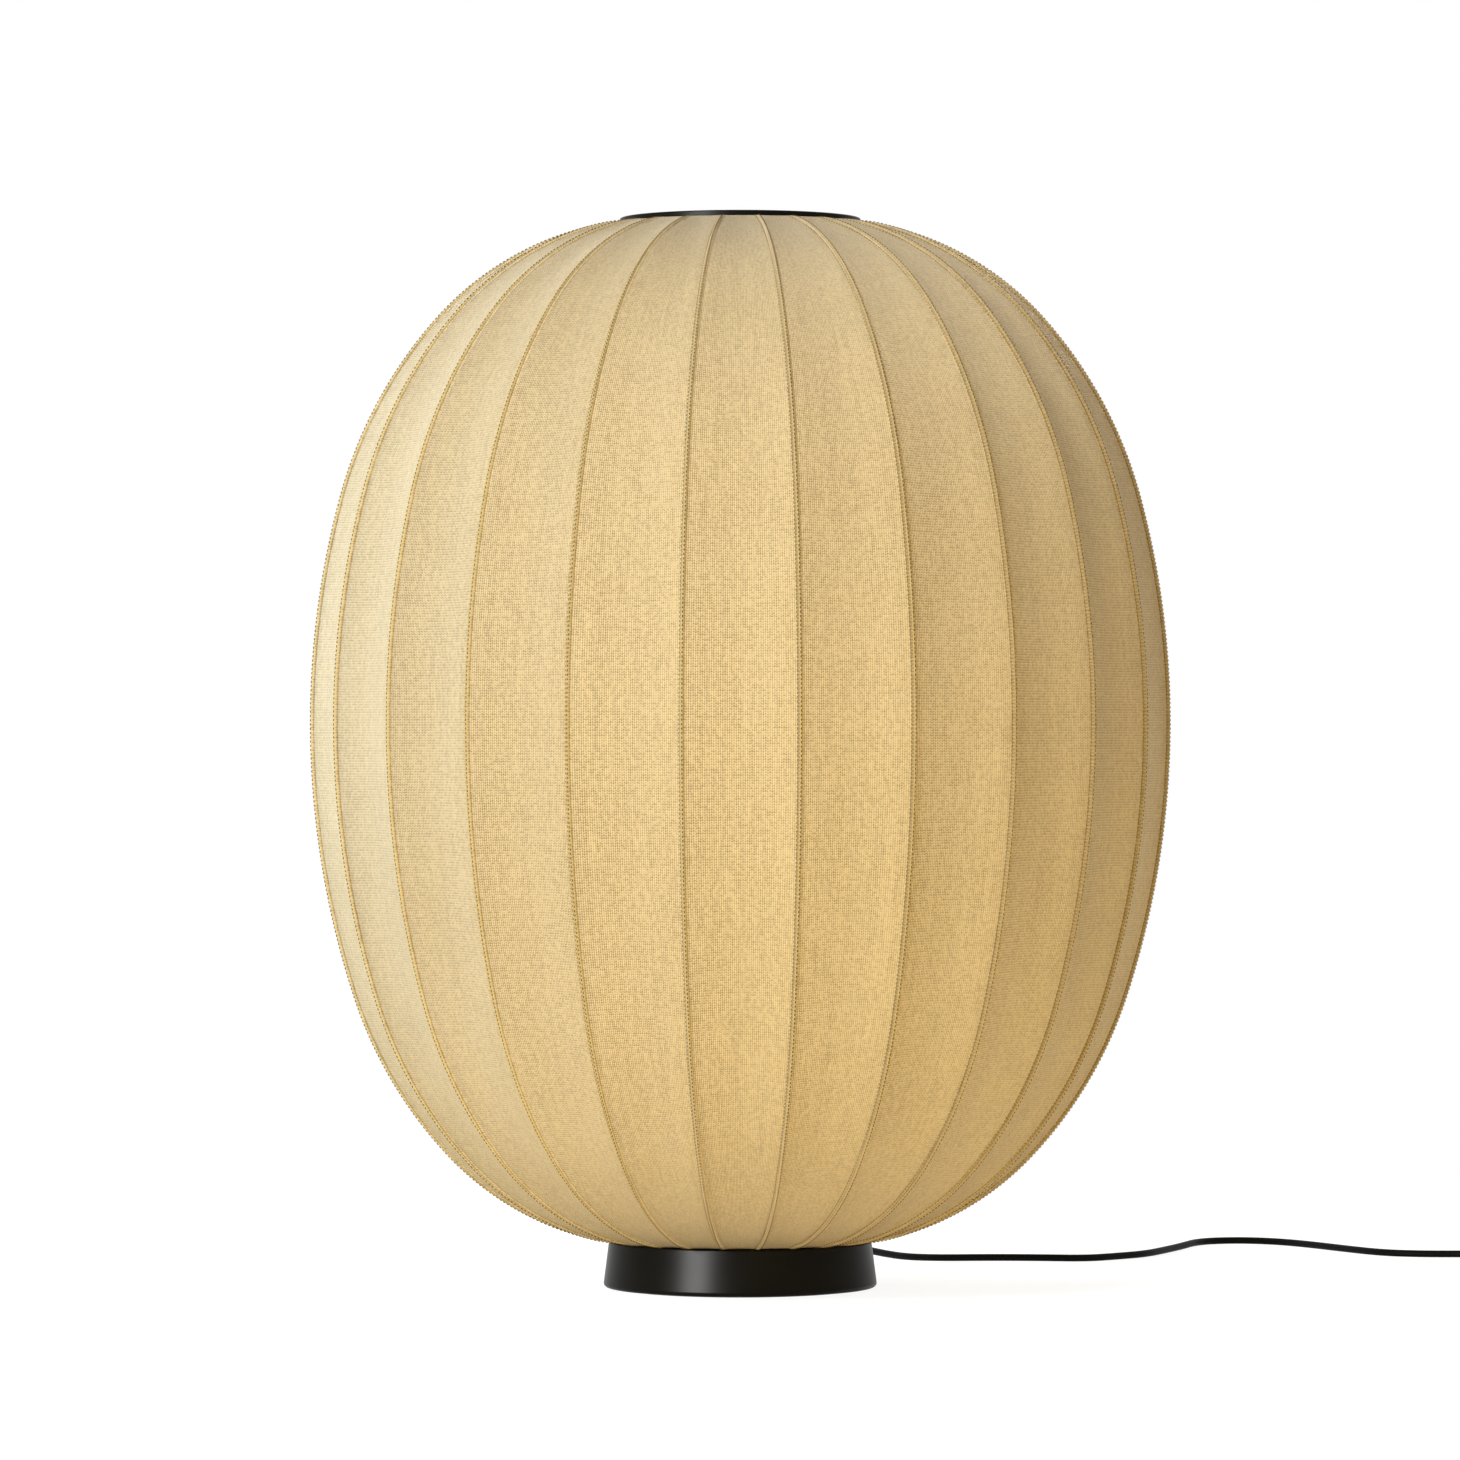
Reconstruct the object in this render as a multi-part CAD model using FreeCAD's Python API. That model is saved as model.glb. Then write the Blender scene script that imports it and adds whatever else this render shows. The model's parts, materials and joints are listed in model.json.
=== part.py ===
import FreeCAD, Part
import math
import os

# Knitted floor lamp in millimetres: +Z up, origin on the floor under the foot's centre, -Y to the front

# Shade outline: bends of the line over a rib, from the belly up and from the belly down
SHADE_R = 325.0
TOP_HEM_R = 91.0
BOTTOM_HEM_R = 88.3
UPPER_MID_BEND = 652.0
UPPER_SHOULDER_BEND = 334.0
UPPER_LIP_BEND = 100.0
UPPER_LEANS = (15.0, 41.4, 75.8)
LOWER_MID_BEND = 665.0
LOWER_SHOULDER_BEND = 321.0
LOWER_LIP_BEND = 130.0
LOWER_LEANS = (18.0, 43.8, 72.0)

# Knitted cover and its ribs
RIB_COUNT = 24
FRONT_GORE_DEG = -90.0
COVER_WALL = 1.2
HEM_FLAP = 8.0
ROD_R = 1.5
ROD_CLEAR = 0.4
ROD_SEAT = 7.0
FIT = 0.05

# Rings at the two ends of the ribs
RING_W = 9.0
RING_SHY = 1.0
RING_FLOOR = 2.2
TOP_RING_T = 4.0
TOP_RING_EDGE = 0.8
RING_SCREW_COUNT = 6
RING_SCREW_R = 1.5
RING_SCREW_BITE = 2.4
RING_HEAD_R = 2.8
RING_HEAD_H = 1.8
RING_SOCKET_R = 1.4
RING_SOCKET_D = 0.9

# Foot
FOOT_H = 35.4
FOOT_BOTTOM_R = 103.6
FOOT_TOP_R = 99.2
FOOT_WALL = 4.0
FOOT_PLATE_T = 3.5
FOOT_LIFT = 1.0
FOOT_TOE = 3.0
FOOT_BROW = 0.8
SEAT_GAP = 0.3
SPIGOT_CLEAR = 0.4
SPIGOT_WALL = 2.5
SPIGOT_H = 10.0

# Inside the foot
PAD_R = 92.0
PAD_T = 1.5
BASE_T = 2.0
BASE_CLEAR = 0.4
BALLAST_T = 14.0
BALLAST_GAP = 9.0
BOSS_COUNT = 4
BOSS_R = 5.5
BOSS_FROM_RIM = 18.0
BOSS_TURN_DEG = 15.0
BASE_SCREW_R = 2.5
BASE_SCREW_BITE = 8.0
BASE_HEAD_R = 4.5
BALLAST_BORE_R = 16.0

# Stem and lamp holder
STEM_R = 8.0
STEM_BORE_R = 5.3
STEM_THREAD_R = 6.5
STEM_LEN = 260.0
STEM_TIP = 8.0
STEM_TAIL = 1.0
COLLAR_R = 22.0
COLLAR_T = 4.0
STEM_NUT_T = 5.0
STEM_NUT_R = 11.0
HOLDER_R = 21.0
HOLDER_WALL = 2.2
HOLDER_CAP_H = 18.0
HOLDER_NECK_R = 9.0
HOLDER_NECK_H = 3.6
HOLDER_RIM_H = 4.5
HOLDER_BODY_H = 40.0
HOLDER_LEDGE = 5.0
HOLDER_MOUTH_CLEAR = 0.8
INSERT_T = 12.0
INSERT_CLEAR = 0.3
CONTACT_R = 4.0
CONTACT_T = 1.4
SHELL_WALL = 0.6
SHELL_H = 24.0
SHELL_CLEAR = 0.3

# Bulb
BULB_GLOBE_R = 47.5
BULB_NECK_R = 13.0
BULB_NECK_BEND = 25.0
BULB_NECK_H = 6.0
BULB_GLASS_T = 1.2
BULB_THREAD_R = 13.3
BULB_THREAD_DEPTH = 0.8
BULB_THREAD_PITCH = 3.6
BULB_THREAD_TURNS = 5
BULB_TIP_H = 7.0
BULB_COLLAR_H = 8.0
BULB_COLLAR_T = 1.1
BULB_CAP_WALL = 1.2
BULB_SEAT_GAP = 0.3

# Mains lead: gland, inner leads and terminal block
CORD_R = 2.8
GLAND_AZIMUTH_DEG = 60.0
GLAND_Z = 21.5
GLAND_NECK_R = 5.0
GLAND_FLANGE_R = 8.0
GLAND_FLANGE_T = 3.0
GLAND_SINK = 1.4
GLAND_RELIEF_L = 29.0
GLAND_RELIEF_R = 6.0
GLAND_TIP_R = 4.0
GLAND_NUT_R = 8.5
GLAND_NUT_T = 5.0
GLAND_WALL_LEFT = 3.2
BLOCK_R = 49.0
BLOCK_L = 18.0
BLOCK_W = 20.0
BLOCK_H = 10.5
BLOCK_SCREW_R = 2.0
STEM_LEAD_R = 2.5
STEM_LEAD_BEND = 9.0

# In-line foot switch
SWITCH_X = 612.0
SWITCH_Y = 186.0
SWITCH_L = 80.0
SWITCH_W = 36.0
SWITCH_SPLIT_Z = 6.0
SWITCH_H = 22.0
SWITCH_WALL = 2.0
SWITCH_TOP_T = 2.5
SWITCH_EDGE = 4.0
SWITCH_CORD_IN = 8.0
SWITCH_POST_X = 10.5
SWITCH_POST_Y = 24.0
SWITCH_POST_R = 3.5
SWITCH_SCREW_R = 1.5
SWITCH_SCREW_L = 13.0
SWITCH_HEAD_R = 2.8
BUTTON_R = 9.0
BUTTON_CLEAR = 0.3
BUTTON_FLANGE = 2.0
BUTTON_FLANGE_T = 3.7
BUTTON_PROUD = 3.0
BUTTON_EDGE = 1.2
BUTTON_TRAVEL = 2.5
MODULE_L = 22.0
MODULE_W = 16.0
MODULE_CLEAR = 0.4

# Coil of the unseen length, its tie and the plug
COIL_TURNS = 7
COIL_INNER_R = 22.6
COIL_PITCH = 6.1
COIL_Y = 80.0
TIE_T = 0.8
TIE_W = 5.0
TIE_CLEAR = 0.4
TIE_CORNER = 2.0
COIL_LIFT = 0.2
PLUG_LEG = 32.0
PLUG_RELIEF_L = 20.0
PLUG_RELIEF_R = 5.4
PLUG_TIP_R = 3.8
PLUG_L = 34.0
PLUG_W = 37.0
PLUG_SHOULDER = 11.0
PLUG_EDGE = 2.5
PIN_R = 2.0
PIN_L = 19.0
PIN_SPACING = 19.0
PIN_SEAT = 6.0
PIN_TIP = 1.2

# Route of the lead on the floor, from the gland's tip to the switch, chosen from the photograph
LEAD_ROUTE = [
    (94.0, 162.5, 17.5),
    (111.0, 192.0, 11.5),
    (131.0, 224.0, 6.0),
    (159.0, 250.0, 3.3),
    (196.0, 261.0, CORD_R),
    (236.0, 259.0, CORD_R),
    (275.0, 251.0, CORD_R),
    (303.0, 276.0, CORD_R),
    (325.0, 299.0, CORD_R),
    (343.0, 340.0, CORD_R),
    (359.0, 381.0, CORD_R),
    (373.0, 424.0, CORD_R),
    (393.0, 441.0, CORD_R),
    (417.0, 443.0, CORD_R),
    (441.0, 429.0, CORD_R),
    (461.5, 402.0, CORD_R),
    (487.0, 356.0, CORD_R),
    (514.0, 310.0, CORD_R),
    (545.0, 297.0, CORD_R),
    (575.0, 297.0, CORD_R),
    (598.0, 285.0, 3.6),
    (612.0, 250.0, 6.0),
]
LEAD_FIRST_RUN = 22.0
ARC_SHARE = 0.45
TAIL_RUN = 23.0

# Smallest length that counts when edges are told apart
TOUCH = 1e-6

# Sizes that follow from those above
GORE_DEG = 360.0 / RIB_COUNT
GORE_FLAT = math.cos(math.pi / RIB_COUNT)
ROD_INSET = COVER_WALL + ROD_CLEAR + ROD_R
RING_H = RING_FLOOR + FIT + 2 * ROD_R + ROD_CLEAR
HEM_Z = FOOT_H + SEAT_GAP
BASE_TOP = PAD_T + BASE_T
BALLAST_TOP = BASE_TOP + BALLAST_T
PLATE_UNDER = FOOT_H - FOOT_PLATE_T
STEM_Z = FOOT_H + COLLAR_T
HOLDER_Z = STEM_Z + STEM_LEN
INSERT_Z = HOLDER_Z + HOLDER_CAP_H
SEAT_Z = INSERT_Z + INSERT_T
BULB_Z = SEAT_Z + CONTACT_T + BULB_SEAT_GAP
SHELL_IN_R = BULB_THREAD_R + SHELL_CLEAR
BULB_COLLAR_R = BULB_NECK_R + FIT + BULB_COLLAR_T
COIL_OUTER_R = COIL_INNER_R + COIL_PITCH * COIL_TURNS / 2
COIL_X = SWITCH_X + COIL_OUTER_R
COIL_LOW_Z = TIE_T + COIL_LIFT + CORD_R
COIL_HIGH_Z = COIL_LOW_Z + COIL_PITCH


def vec(x, y, z):
    return FreeCAD.Vector(x, y, z)


def line(a, b):
    return Part.makeLine(vec(*a), vec(*b))


def outline_face(points):
    """A flat face from the corners of its outline."""
    corners = [vec(*p) for p in points]
    return Part.Face(Part.makePolygon(corners + corners[:1]))


def turned_solid(profile):
    """A full turn of an outline of (radius, height) corners about the Z axis."""
    face = outline_face([(r, 0, z) for r, z in profile])
    return face.revolve(vec(0, 0, 0), vec(0, 0, 1), 360)


def post(radius, low, high, x=0.0, y=0.0):
    return Part.makeCylinder(radius, high - low, vec(x, y, low))


def washer(inner, outer, low, high):
    return post(outer, low, high).cut(post(inner, low, high))


def block(x0, x1, y0, y1, z0, z1):
    return Part.makeBox(x1 - x0, y1 - y0, z1 - z0, vec(x0, y0, z0))


def hexagon(corner_r, low, height):
    corners = [
        (corner_r * math.cos(i * math.pi / 3), corner_r * math.sin(i * math.pi / 3), low)
        for i in range(6)
    ]
    return outline_face(corners).extrude(vec(0, 0, height))


def rotated(shape, degrees):
    copy = shape.copy()
    copy.rotate(vec(0, 0, 0), vec(0, 0, 1), degrees)
    return copy


def moved(shape, x, y, z):
    copy = shape.copy()
    copy.translate(vec(x, y, z))
    return copy


def around(shape, count, first_deg):
    """Copies of a shape, evenly spaced about the Z axis."""
    return [rotated(shape, first_deg + 360.0 * i / count) for i in range(count)]


def group(shapes):
    return Part.makeCompound(shapes)


def rounded(shape, radius, keep):
    """Fillet the edges that keep() picks."""
    return shape.makeFillet(radius, [e for e in shape.Edges if keep(e)])


def level_edge(z, radius=None):
    """A test for round edges at one height, and of one radius if it is given."""

    def keep(edge):
        at_height = abs(edge.BoundBox.ZMin - z) < TOUCH and abs(edge.BoundBox.ZMax - z) < TOUCH
        fits = radius is None or abs(edge.BoundBox.XLength / 2 - radius) < TOUCH
        return at_height and fits

    return keep


def countersunk(shank_r, head_r, z, length):
    """A flat-headed screw that points up, with its head's flat at height z."""
    head = head_r - shank_r
    profile = [(0, z), (head_r, z), (shank_r, z + head), (shank_r, z + length), (0, z + length)]
    return turned_solid(profile)


def export(name, shape):
    solids = shape.Solids
    good = shape.isValid() and all(s.isClosed() for s in solids)
    print(f"{name}: {len(solids)} solid(s), {shape.Volume:.1f} mm3, {'closed' if good else 'FAULTY'}")
    shape.exportStep(f"parts/{name}.step")


# Line of the shade over a rib


def bends_to_hem(mid, shoulder, lip, leans, hem_r):
    """Bends from the belly to a hem as (radius, lean at start, lean at end); the crown closes the line."""
    first, second, third = (math.radians(a) for a in leans)
    shoulder_end = (
        SHADE_R
        - mid * (1 - math.cos(first))
        - shoulder * (math.cos(first) - math.cos(second))
    )
    crown = (shoulder_end - hem_r - lip * math.cos(third)) / (math.cos(second) - math.cos(third))
    return [
        (mid, 0.0, first),
        (shoulder, first, second),
        (crown, second, third),
        (lip, third, math.pi / 2),
    ]


def rise_of(bends):
    return sum(radius * (math.sin(end) - math.sin(start)) for radius, start, end in bends)


def flattened(bends):
    """The same line halfway between two ribs, where the cover runs straight across."""
    flat = []
    for radius, start, end in bends:
        rise = radius * (math.sin(end) - math.sin(start))
        low, high = (math.atan2(GORE_FLAT * math.sin(a), math.cos(a)) for a in (start, end))
        flat.append((rise / (math.sin(high) - math.sin(low)), low, high))
    return flat


UPPER = bends_to_hem(UPPER_MID_BEND, UPPER_SHOULDER_BEND, UPPER_LIP_BEND, UPPER_LEANS, TOP_HEM_R)
LOWER = bends_to_hem(LOWER_MID_BEND, LOWER_SHOULDER_BEND, LOWER_LIP_BEND, LOWER_LEANS, BOTTOM_HEM_R)
BELLY_Z = HEM_Z + rise_of(LOWER)
CROWN_Z = BELLY_Z + rise_of(UPPER)


def bend_spans(bends, belly_r, inset, sign):
    """Start, middle and end of each bend from the belly outwards, inset square to the line."""
    r, z = belly_r, BELLY_Z
    spans = []
    for radius, start, end in bends:
        centre_r = r - radius * math.cos(start)
        centre_z = z - sign * radius * math.sin(start)
        held = radius - inset
        leans = (start, (start + end) / 2, end)
        spans.append([
            (centre_r + held * math.cos(a), 0, centre_z + sign * held * math.sin(a)) for a in leans
        ])
        r = centre_r + radius * math.cos(end)
        z = centre_z + sign * radius * math.sin(end)
    return spans


def meridian(upper, lower, belly_r, inset, end_run):
    """Edges of the line from its lower end to its upper end, with a level run at each end."""
    below = [span[::-1] for span in bend_spans(lower, belly_r, inset, -1)][::-1]
    spans = below + bend_spans(upper, belly_r, inset, 1)
    foot, head = spans[0][0], spans[-1][2]
    first = line((foot[0] - end_run, 0, foot[2]), foot)
    last = line(head, (head[0] - end_run, 0, head[2]))
    arcs = [Part.Arc(*(vec(*p) for p in span)).toShape() for span in spans]
    return [first, *arcs, last]


def knitted_cover():
    """Gores that run straight from rib to rib, with a level flap at each hem."""
    upper, lower = flattened(UPPER), flattened(LOWER)
    belly_r = SHADE_R * GORE_FLAT
    outside = meridian(upper, lower, belly_r, 0.0, HEM_FLAP)
    inside = meridian(upper, lower, belly_r, COVER_WALL, HEM_FLAP)
    low_edge = Part.makeLine(outside[0].Vertexes[0].Point, inside[0].Vertexes[0].Point)
    high_edge = Part.makeLine(outside[-1].Vertexes[1].Point, inside[-1].Vertexes[1].Point)
    wires = Part.__sortEdges__([*outside, high_edge, *inside, low_edge])
    section = Part.Face(Part.Wire(wires))
    reach = 2 * SHADE_R
    spread = reach * math.tan(math.pi / RIB_COUNT)
    section.translate(vec(0, -spread, 0))
    wedge = outline_face([(0, 0, 0), (reach, -spread, 0), (reach, spread, 0)])
    gore = section.extrude(vec(0, 2 * spread, 0)).common(wedge.extrude(vec(0, 0, 2 * CROWN_Z)))
    gores = around(gore, RIB_COUNT, FRONT_GORE_DEG)
    cover = gores[0].multiFuse(gores[1:]).removeSplitter()
    return cover.cut(group(ring_screw_holes(CROWN_Z - 2 * COVER_WALL, CROWN_Z + COVER_WALL))).Solids[0]


def rib():
    """One rod along the line inside the cover, with a straight end in each ring."""
    path = meridian(UPPER, LOWER, SHADE_R, ROD_INSET, ROD_SEAT)
    start = path[0].Vertexes[0].Point
    circle = Part.Wire(Part.makeCircle(ROD_R, start, vec(1, 0, 0)))
    return Part.Wire(path).makePipeShell([circle], True, False)


# Rings


def ring_screw_holes(low, high):
    hole = post(RING_SCREW_R + FIT, low, high, TOP_HEM_R - RING_W / 2, 0)
    return around(hole, RING_SCREW_COUNT, FRONT_GORE_DEG)


def rib_ring_r(hem_r):
    """Rim of a rib ring, just inside the bend where the cover leaves its flat flap."""
    return hem_r * GORE_FLAT - RING_SHY


def rib_slots(hem_r, low, high):
    """Room for the rods' ends, open towards the hem's flap and outwards."""
    half = ROD_R + FIT
    slot = block(hem_r - ROD_SEAT - FIT, hem_r + RING_W, -half, half, low, high)
    return group(around(slot, RIB_COUNT, FRONT_GORE_DEG + GORE_DEG / 2))


TOP_RIB_RING_Z = CROWN_Z - COVER_WALL - RING_H
BOTTOM_RIB_RING_Z = HEM_Z + COVER_WALL


def top_rib_ring():
    top = TOP_RIB_RING_Z + RING_H
    ring = washer(TOP_HEM_R - RING_W, rib_ring_r(TOP_HEM_R), TOP_RIB_RING_Z, top)
    ring = ring.cut(rib_slots(TOP_HEM_R, TOP_RIB_RING_Z + RING_FLOOR, top))
    return ring.cut(group(ring_screw_holes(TOP_RIB_RING_Z, top)))


def bottom_rib_ring():
    top = BOTTOM_RIB_RING_Z + RING_H
    ring = washer(BOTTOM_HEM_R - RING_W, rib_ring_r(BOTTOM_HEM_R), BOTTOM_RIB_RING_Z, top)
    return ring.cut(rib_slots(BOTTOM_HEM_R, BOTTOM_RIB_RING_Z, top - RING_FLOOR))


def top_cover_ring():
    """The flat black ring that clamps the cover's upper hem."""
    top = CROWN_Z + TOP_RING_T
    ring = washer(TOP_HEM_R - RING_W, TOP_HEM_R, CROWN_Z, top)
    ring = rounded(ring, TOP_RING_EDGE, level_edge(top))
    return ring.cut(group(ring_screw_holes(CROWN_Z, CROWN_Z + RING_SCREW_BITE + FIT)))


def top_ring_screws():
    """Screws from below, through the rib ring and the hem into the cover ring."""
    head = post(RING_HEAD_R, TOP_RIB_RING_Z - RING_HEAD_H, TOP_RIB_RING_Z)
    socket = hexagon(RING_SOCKET_R, TOP_RIB_RING_Z - RING_HEAD_H, RING_SOCKET_D)
    screw = head.cut(socket).fuse(post(RING_SCREW_R, TOP_RIB_RING_Z, CROWN_Z + RING_SCREW_BITE))
    screw = moved(screw, TOP_HEM_R - RING_W / 2, 0, 0)
    return group(around(screw, RING_SCREW_COUNT, FRONT_GORE_DEG))


# Foot


def foot_outer_r(z):
    """Radius of the foot's cone at a height."""
    share = (z - FOOT_LIFT) / (FOOT_H - FOOT_LIFT)
    return FOOT_BOTTOM_R + (FOOT_TOP_R - FOOT_BOTTOM_R) * share


def foot_inner_r(z):
    return foot_outer_r(z) - FOOT_WALL


SPIGOT_R = BOTTOM_HEM_R - RING_W - SPIGOT_CLEAR
BALLAST_R = foot_inner_r(BALLAST_TOP) - BALLAST_GAP
BOSS_CIRCLE_R = BALLAST_R - BOSS_FROM_RIM
GLAND_SEAT_R = foot_outer_r(GLAND_Z) - GLAND_SINK
GLAND_NUT_SEAT_R = GLAND_SEAT_R - GLAND_WALL_LEFT
GLAND_END_R = GLAND_SEAT_R + GLAND_FLANGE_T + GLAND_RELIEF_L


def along_gland(radius, start, end):
    """A round bar on the gland's axis, between two distances from the foot's centre."""
    bar = Part.makeCylinder(radius, end - start, vec(start, 0, GLAND_Z), vec(1, 0, 0))
    return rotated(bar, GLAND_AZIMUTH_DEG)


def boss_posts(radius, low, high):
    return around(post(radius, low, high, BOSS_CIRCLE_R, 0), BOSS_COUNT, BOSS_TURN_DEG)


def foot_shell():
    """Cone wall, top plate and the spigot that centres the shade."""
    spigot_top = FOOT_H + SPIGOT_H
    spigot_in = SPIGOT_R - SPIGOT_WALL
    hole_r = STEM_THREAD_R + FIT
    shell = turned_solid([
        (foot_inner_r(FOOT_LIFT), FOOT_LIFT),
        (FOOT_BOTTOM_R, FOOT_LIFT),
        (FOOT_TOP_R, FOOT_H),
        (SPIGOT_R, FOOT_H),
        (SPIGOT_R, spigot_top),
        (spigot_in, spigot_top),
        (spigot_in, FOOT_H),
        (hole_r, FOOT_H),
        (hole_r, PLATE_UNDER),
        (foot_inner_r(PLATE_UNDER), PLATE_UNDER),
    ])
    shell = rounded(shell, FOOT_TOE, level_edge(FOOT_LIFT, FOOT_BOTTOM_R))
    shell = rounded(shell, FOOT_BROW, level_edge(FOOT_H, FOOT_TOP_R))
    shell = shell.fuse(boss_posts(BOSS_R, BALLAST_TOP, PLATE_UNDER)).removeSplitter()
    bite = boss_posts(BASE_SCREW_R + FIT, BALLAST_TOP, BALLAST_TOP + BASE_SCREW_BITE + FIT)
    outer_seat = along_gland(GLAND_FLANGE_R + FIT, GLAND_SEAT_R, GLAND_END_R)
    inner_seat = along_gland(GLAND_NUT_R + SEAT_GAP, BALLAST_R, GLAND_NUT_SEAT_R)
    bore = along_gland(GLAND_NECK_R + FIT, GLAND_NUT_SEAT_R, GLAND_SEAT_R)
    return shell.cut(group([*bite, outer_seat, inner_seat, bore]))


def foot_pad():
    return post(PAD_R, 0, PAD_T)


def base_screw_set(extra):
    """The base screws, or the room for them if extra is more than nothing."""
    length = BASE_T + BALLAST_T + BASE_SCREW_BITE
    screw = countersunk(BASE_SCREW_R + extra, BASE_HEAD_R + extra, PAD_T, length)
    return around(moved(screw, BOSS_CIRCLE_R, 0, 0), BOSS_COUNT, BOSS_TURN_DEG)


def base_plate():
    plate = post(foot_inner_r(BASE_TOP) - BASE_CLEAR, PAD_T, BASE_TOP)
    return plate.cut(group(base_screw_set(FIT)))


def ballast_plate():
    plate = washer(BALLAST_BORE_R, BALLAST_R, BASE_TOP, BALLAST_TOP)
    return plate.cut(group(base_screw_set(FIT)))


# Stem and lamp holder


def lamp_stem():
    return turned_solid([
        (STEM_BORE_R, PLATE_UNDER - STEM_NUT_T - STEM_TAIL),
        (STEM_THREAD_R, PLATE_UNDER - STEM_NUT_T - STEM_TAIL),
        (STEM_THREAD_R, STEM_Z),
        (STEM_R, STEM_Z),
        (STEM_R, HOLDER_Z),
        (STEM_THREAD_R, HOLDER_Z),
        (STEM_THREAD_R, HOLDER_Z + STEM_TIP),
        (STEM_BORE_R, HOLDER_Z + STEM_TIP),
    ])


def stem_collar():
    collar = washer(STEM_THREAD_R + FIT, COLLAR_R, FOOT_H, STEM_Z)
    return rounded(collar, COLLAR_T / 2, level_edge(STEM_Z, COLLAR_R))


def stem_nut():
    nut = hexagon(STEM_NUT_R, PLATE_UNDER - STEM_NUT_T, STEM_NUT_T)
    return nut.cut(post(STEM_THREAD_R + FIT, PLATE_UNDER - STEM_NUT_T, PLATE_UNDER))


def holder_cap():
    """Cup between the stem and the holder's body, with a ledge for the insert."""
    ledge_r = HOLDER_R - HOLDER_LEDGE
    neck_top = HOLDER_Z + HOLDER_NECK_H
    return turned_solid([
        (STEM_THREAD_R + FIT, HOLDER_Z),
        (HOLDER_NECK_R, HOLDER_Z),
        (HOLDER_NECK_R, neck_top),
        (HOLDER_R, INSERT_Z - HOLDER_RIM_H),
        (HOLDER_R, INSERT_Z),
        (ledge_r, INSERT_Z),
        (ledge_r, INSERT_Z - HOLDER_WALL),
        (HOLDER_NECK_R, neck_top + HOLDER_WALL),
        (STEM_THREAD_R + FIT, neck_top + HOLDER_WALL),
    ])


def holder_body():
    inner = HOLDER_R - HOLDER_WALL
    top = INSERT_Z + HOLDER_BODY_H
    mouth = BULB_COLLAR_R + HOLDER_MOUTH_CLEAR
    body = turned_solid([
        (inner, INSERT_Z),
        (HOLDER_R, INSERT_Z),
        (HOLDER_R, top),
        (mouth, top),
        (mouth, top - HOLDER_WALL),
        (inner, top - HOLDER_WALL),
    ])
    return rounded(body, HOLDER_WALL / 2, level_edge(top, HOLDER_R))


def holder_insert():
    return post(HOLDER_R - HOLDER_WALL - INSERT_CLEAR, INSERT_Z, SEAT_Z)


def screw_shell():
    return washer(SHELL_IN_R, SHELL_IN_R + SHELL_WALL, SEAT_Z, SEAT_Z + SHELL_H)


def centre_contact():
    return post(CONTACT_R, SEAT_Z, SEAT_Z + CONTACT_T)


# Bulb

THREAD_LOW = BULB_Z + BULB_TIP_H
THREAD_HIGH = THREAD_LOW + BULB_THREAD_TURNS * BULB_THREAD_PITCH
NECK_LOW = THREAD_HIGH + BULB_CAP_WALL
NECK_HIGH = THREAD_HIGH + BULB_COLLAR_H + BULB_NECK_H
GLOBE_DROP = math.sqrt((BULB_GLOBE_R + BULB_NECK_BEND) ** 2 - (BULB_NECK_R + BULB_NECK_BEND) ** 2)
GLOBE_Z = NECK_HIGH + GLOBE_DROP


def bulb_cap():
    """Threaded cap as rings, with the collar that grips the glass neck."""
    valley = BULB_THREAD_R - BULB_THREAD_DEPTH
    inner = valley - BULB_CAP_WALL
    grip = BULB_NECK_R + FIT
    profile = [(0, BULB_Z), (CONTACT_R, BULB_Z), (CONTACT_R, BULB_Z + BULB_CAP_WALL), (valley, THREAD_LOW)]
    for turn in range(BULB_THREAD_TURNS):
        low = THREAD_LOW + turn * BULB_THREAD_PITCH
        profile.append((BULB_THREAD_R, low + BULB_THREAD_PITCH / 2))
        profile.append((valley, low + BULB_THREAD_PITCH))
    profile += [
        (BULB_COLLAR_R, THREAD_HIGH),
        (BULB_COLLAR_R, THREAD_HIGH + BULB_COLLAR_H),
        (grip, THREAD_HIGH + BULB_COLLAR_H),
        (grip, NECK_LOW),
        (inner, NECK_LOW),
        (inner, THREAD_LOW + BULB_CAP_WALL),
        (0, BULB_Z + 2 * BULB_CAP_WALL),
    ]
    return turned_solid(profile)


def globe_outline(shrink):
    """Neck, neck bend and globe as edges from the neck's foot to the top."""
    neck = BULB_NECK_R - shrink
    bend = BULB_NECK_BEND + shrink
    globe = BULB_GLOBE_R - shrink
    bend_r = BULB_NECK_R + BULB_NECK_BEND
    meet = math.atan2(GLOBE_DROP, bend_r)
    half = meet / 2
    joint = vec(bend_r - bend * math.cos(meet), 0, NECK_HIGH + bend * math.sin(meet))
    side = vec(bend_r - bend * math.cos(half), 0, NECK_HIGH + bend * math.sin(half))
    return [
        line((neck, 0, NECK_LOW), (neck, 0, NECK_HIGH)),
        Part.Arc(vec(neck, 0, NECK_HIGH), side, joint).toShape(),
        Part.Arc(joint, vec(globe, 0, GLOBE_Z), vec(0, 0, GLOBE_Z + globe)).toShape(),
    ]


def bulb_glass():
    outside = globe_outline(0.0)
    inside = globe_outline(BULB_GLASS_T)
    foot = Part.makeLine(outside[0].Vertexes[0].Point, inside[0].Vertexes[0].Point)
    crown = Part.makeLine(outside[-1].Vertexes[1].Point, inside[-1].Vertexes[1].Point)
    section = Part.Face(Part.Wire(Part.__sortEdges__([*outside, crown, *inside, foot])))
    return section.revolve(vec(0, 0, 0), vec(0, 0, 1), 360)


# Lead inside the foot


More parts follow.
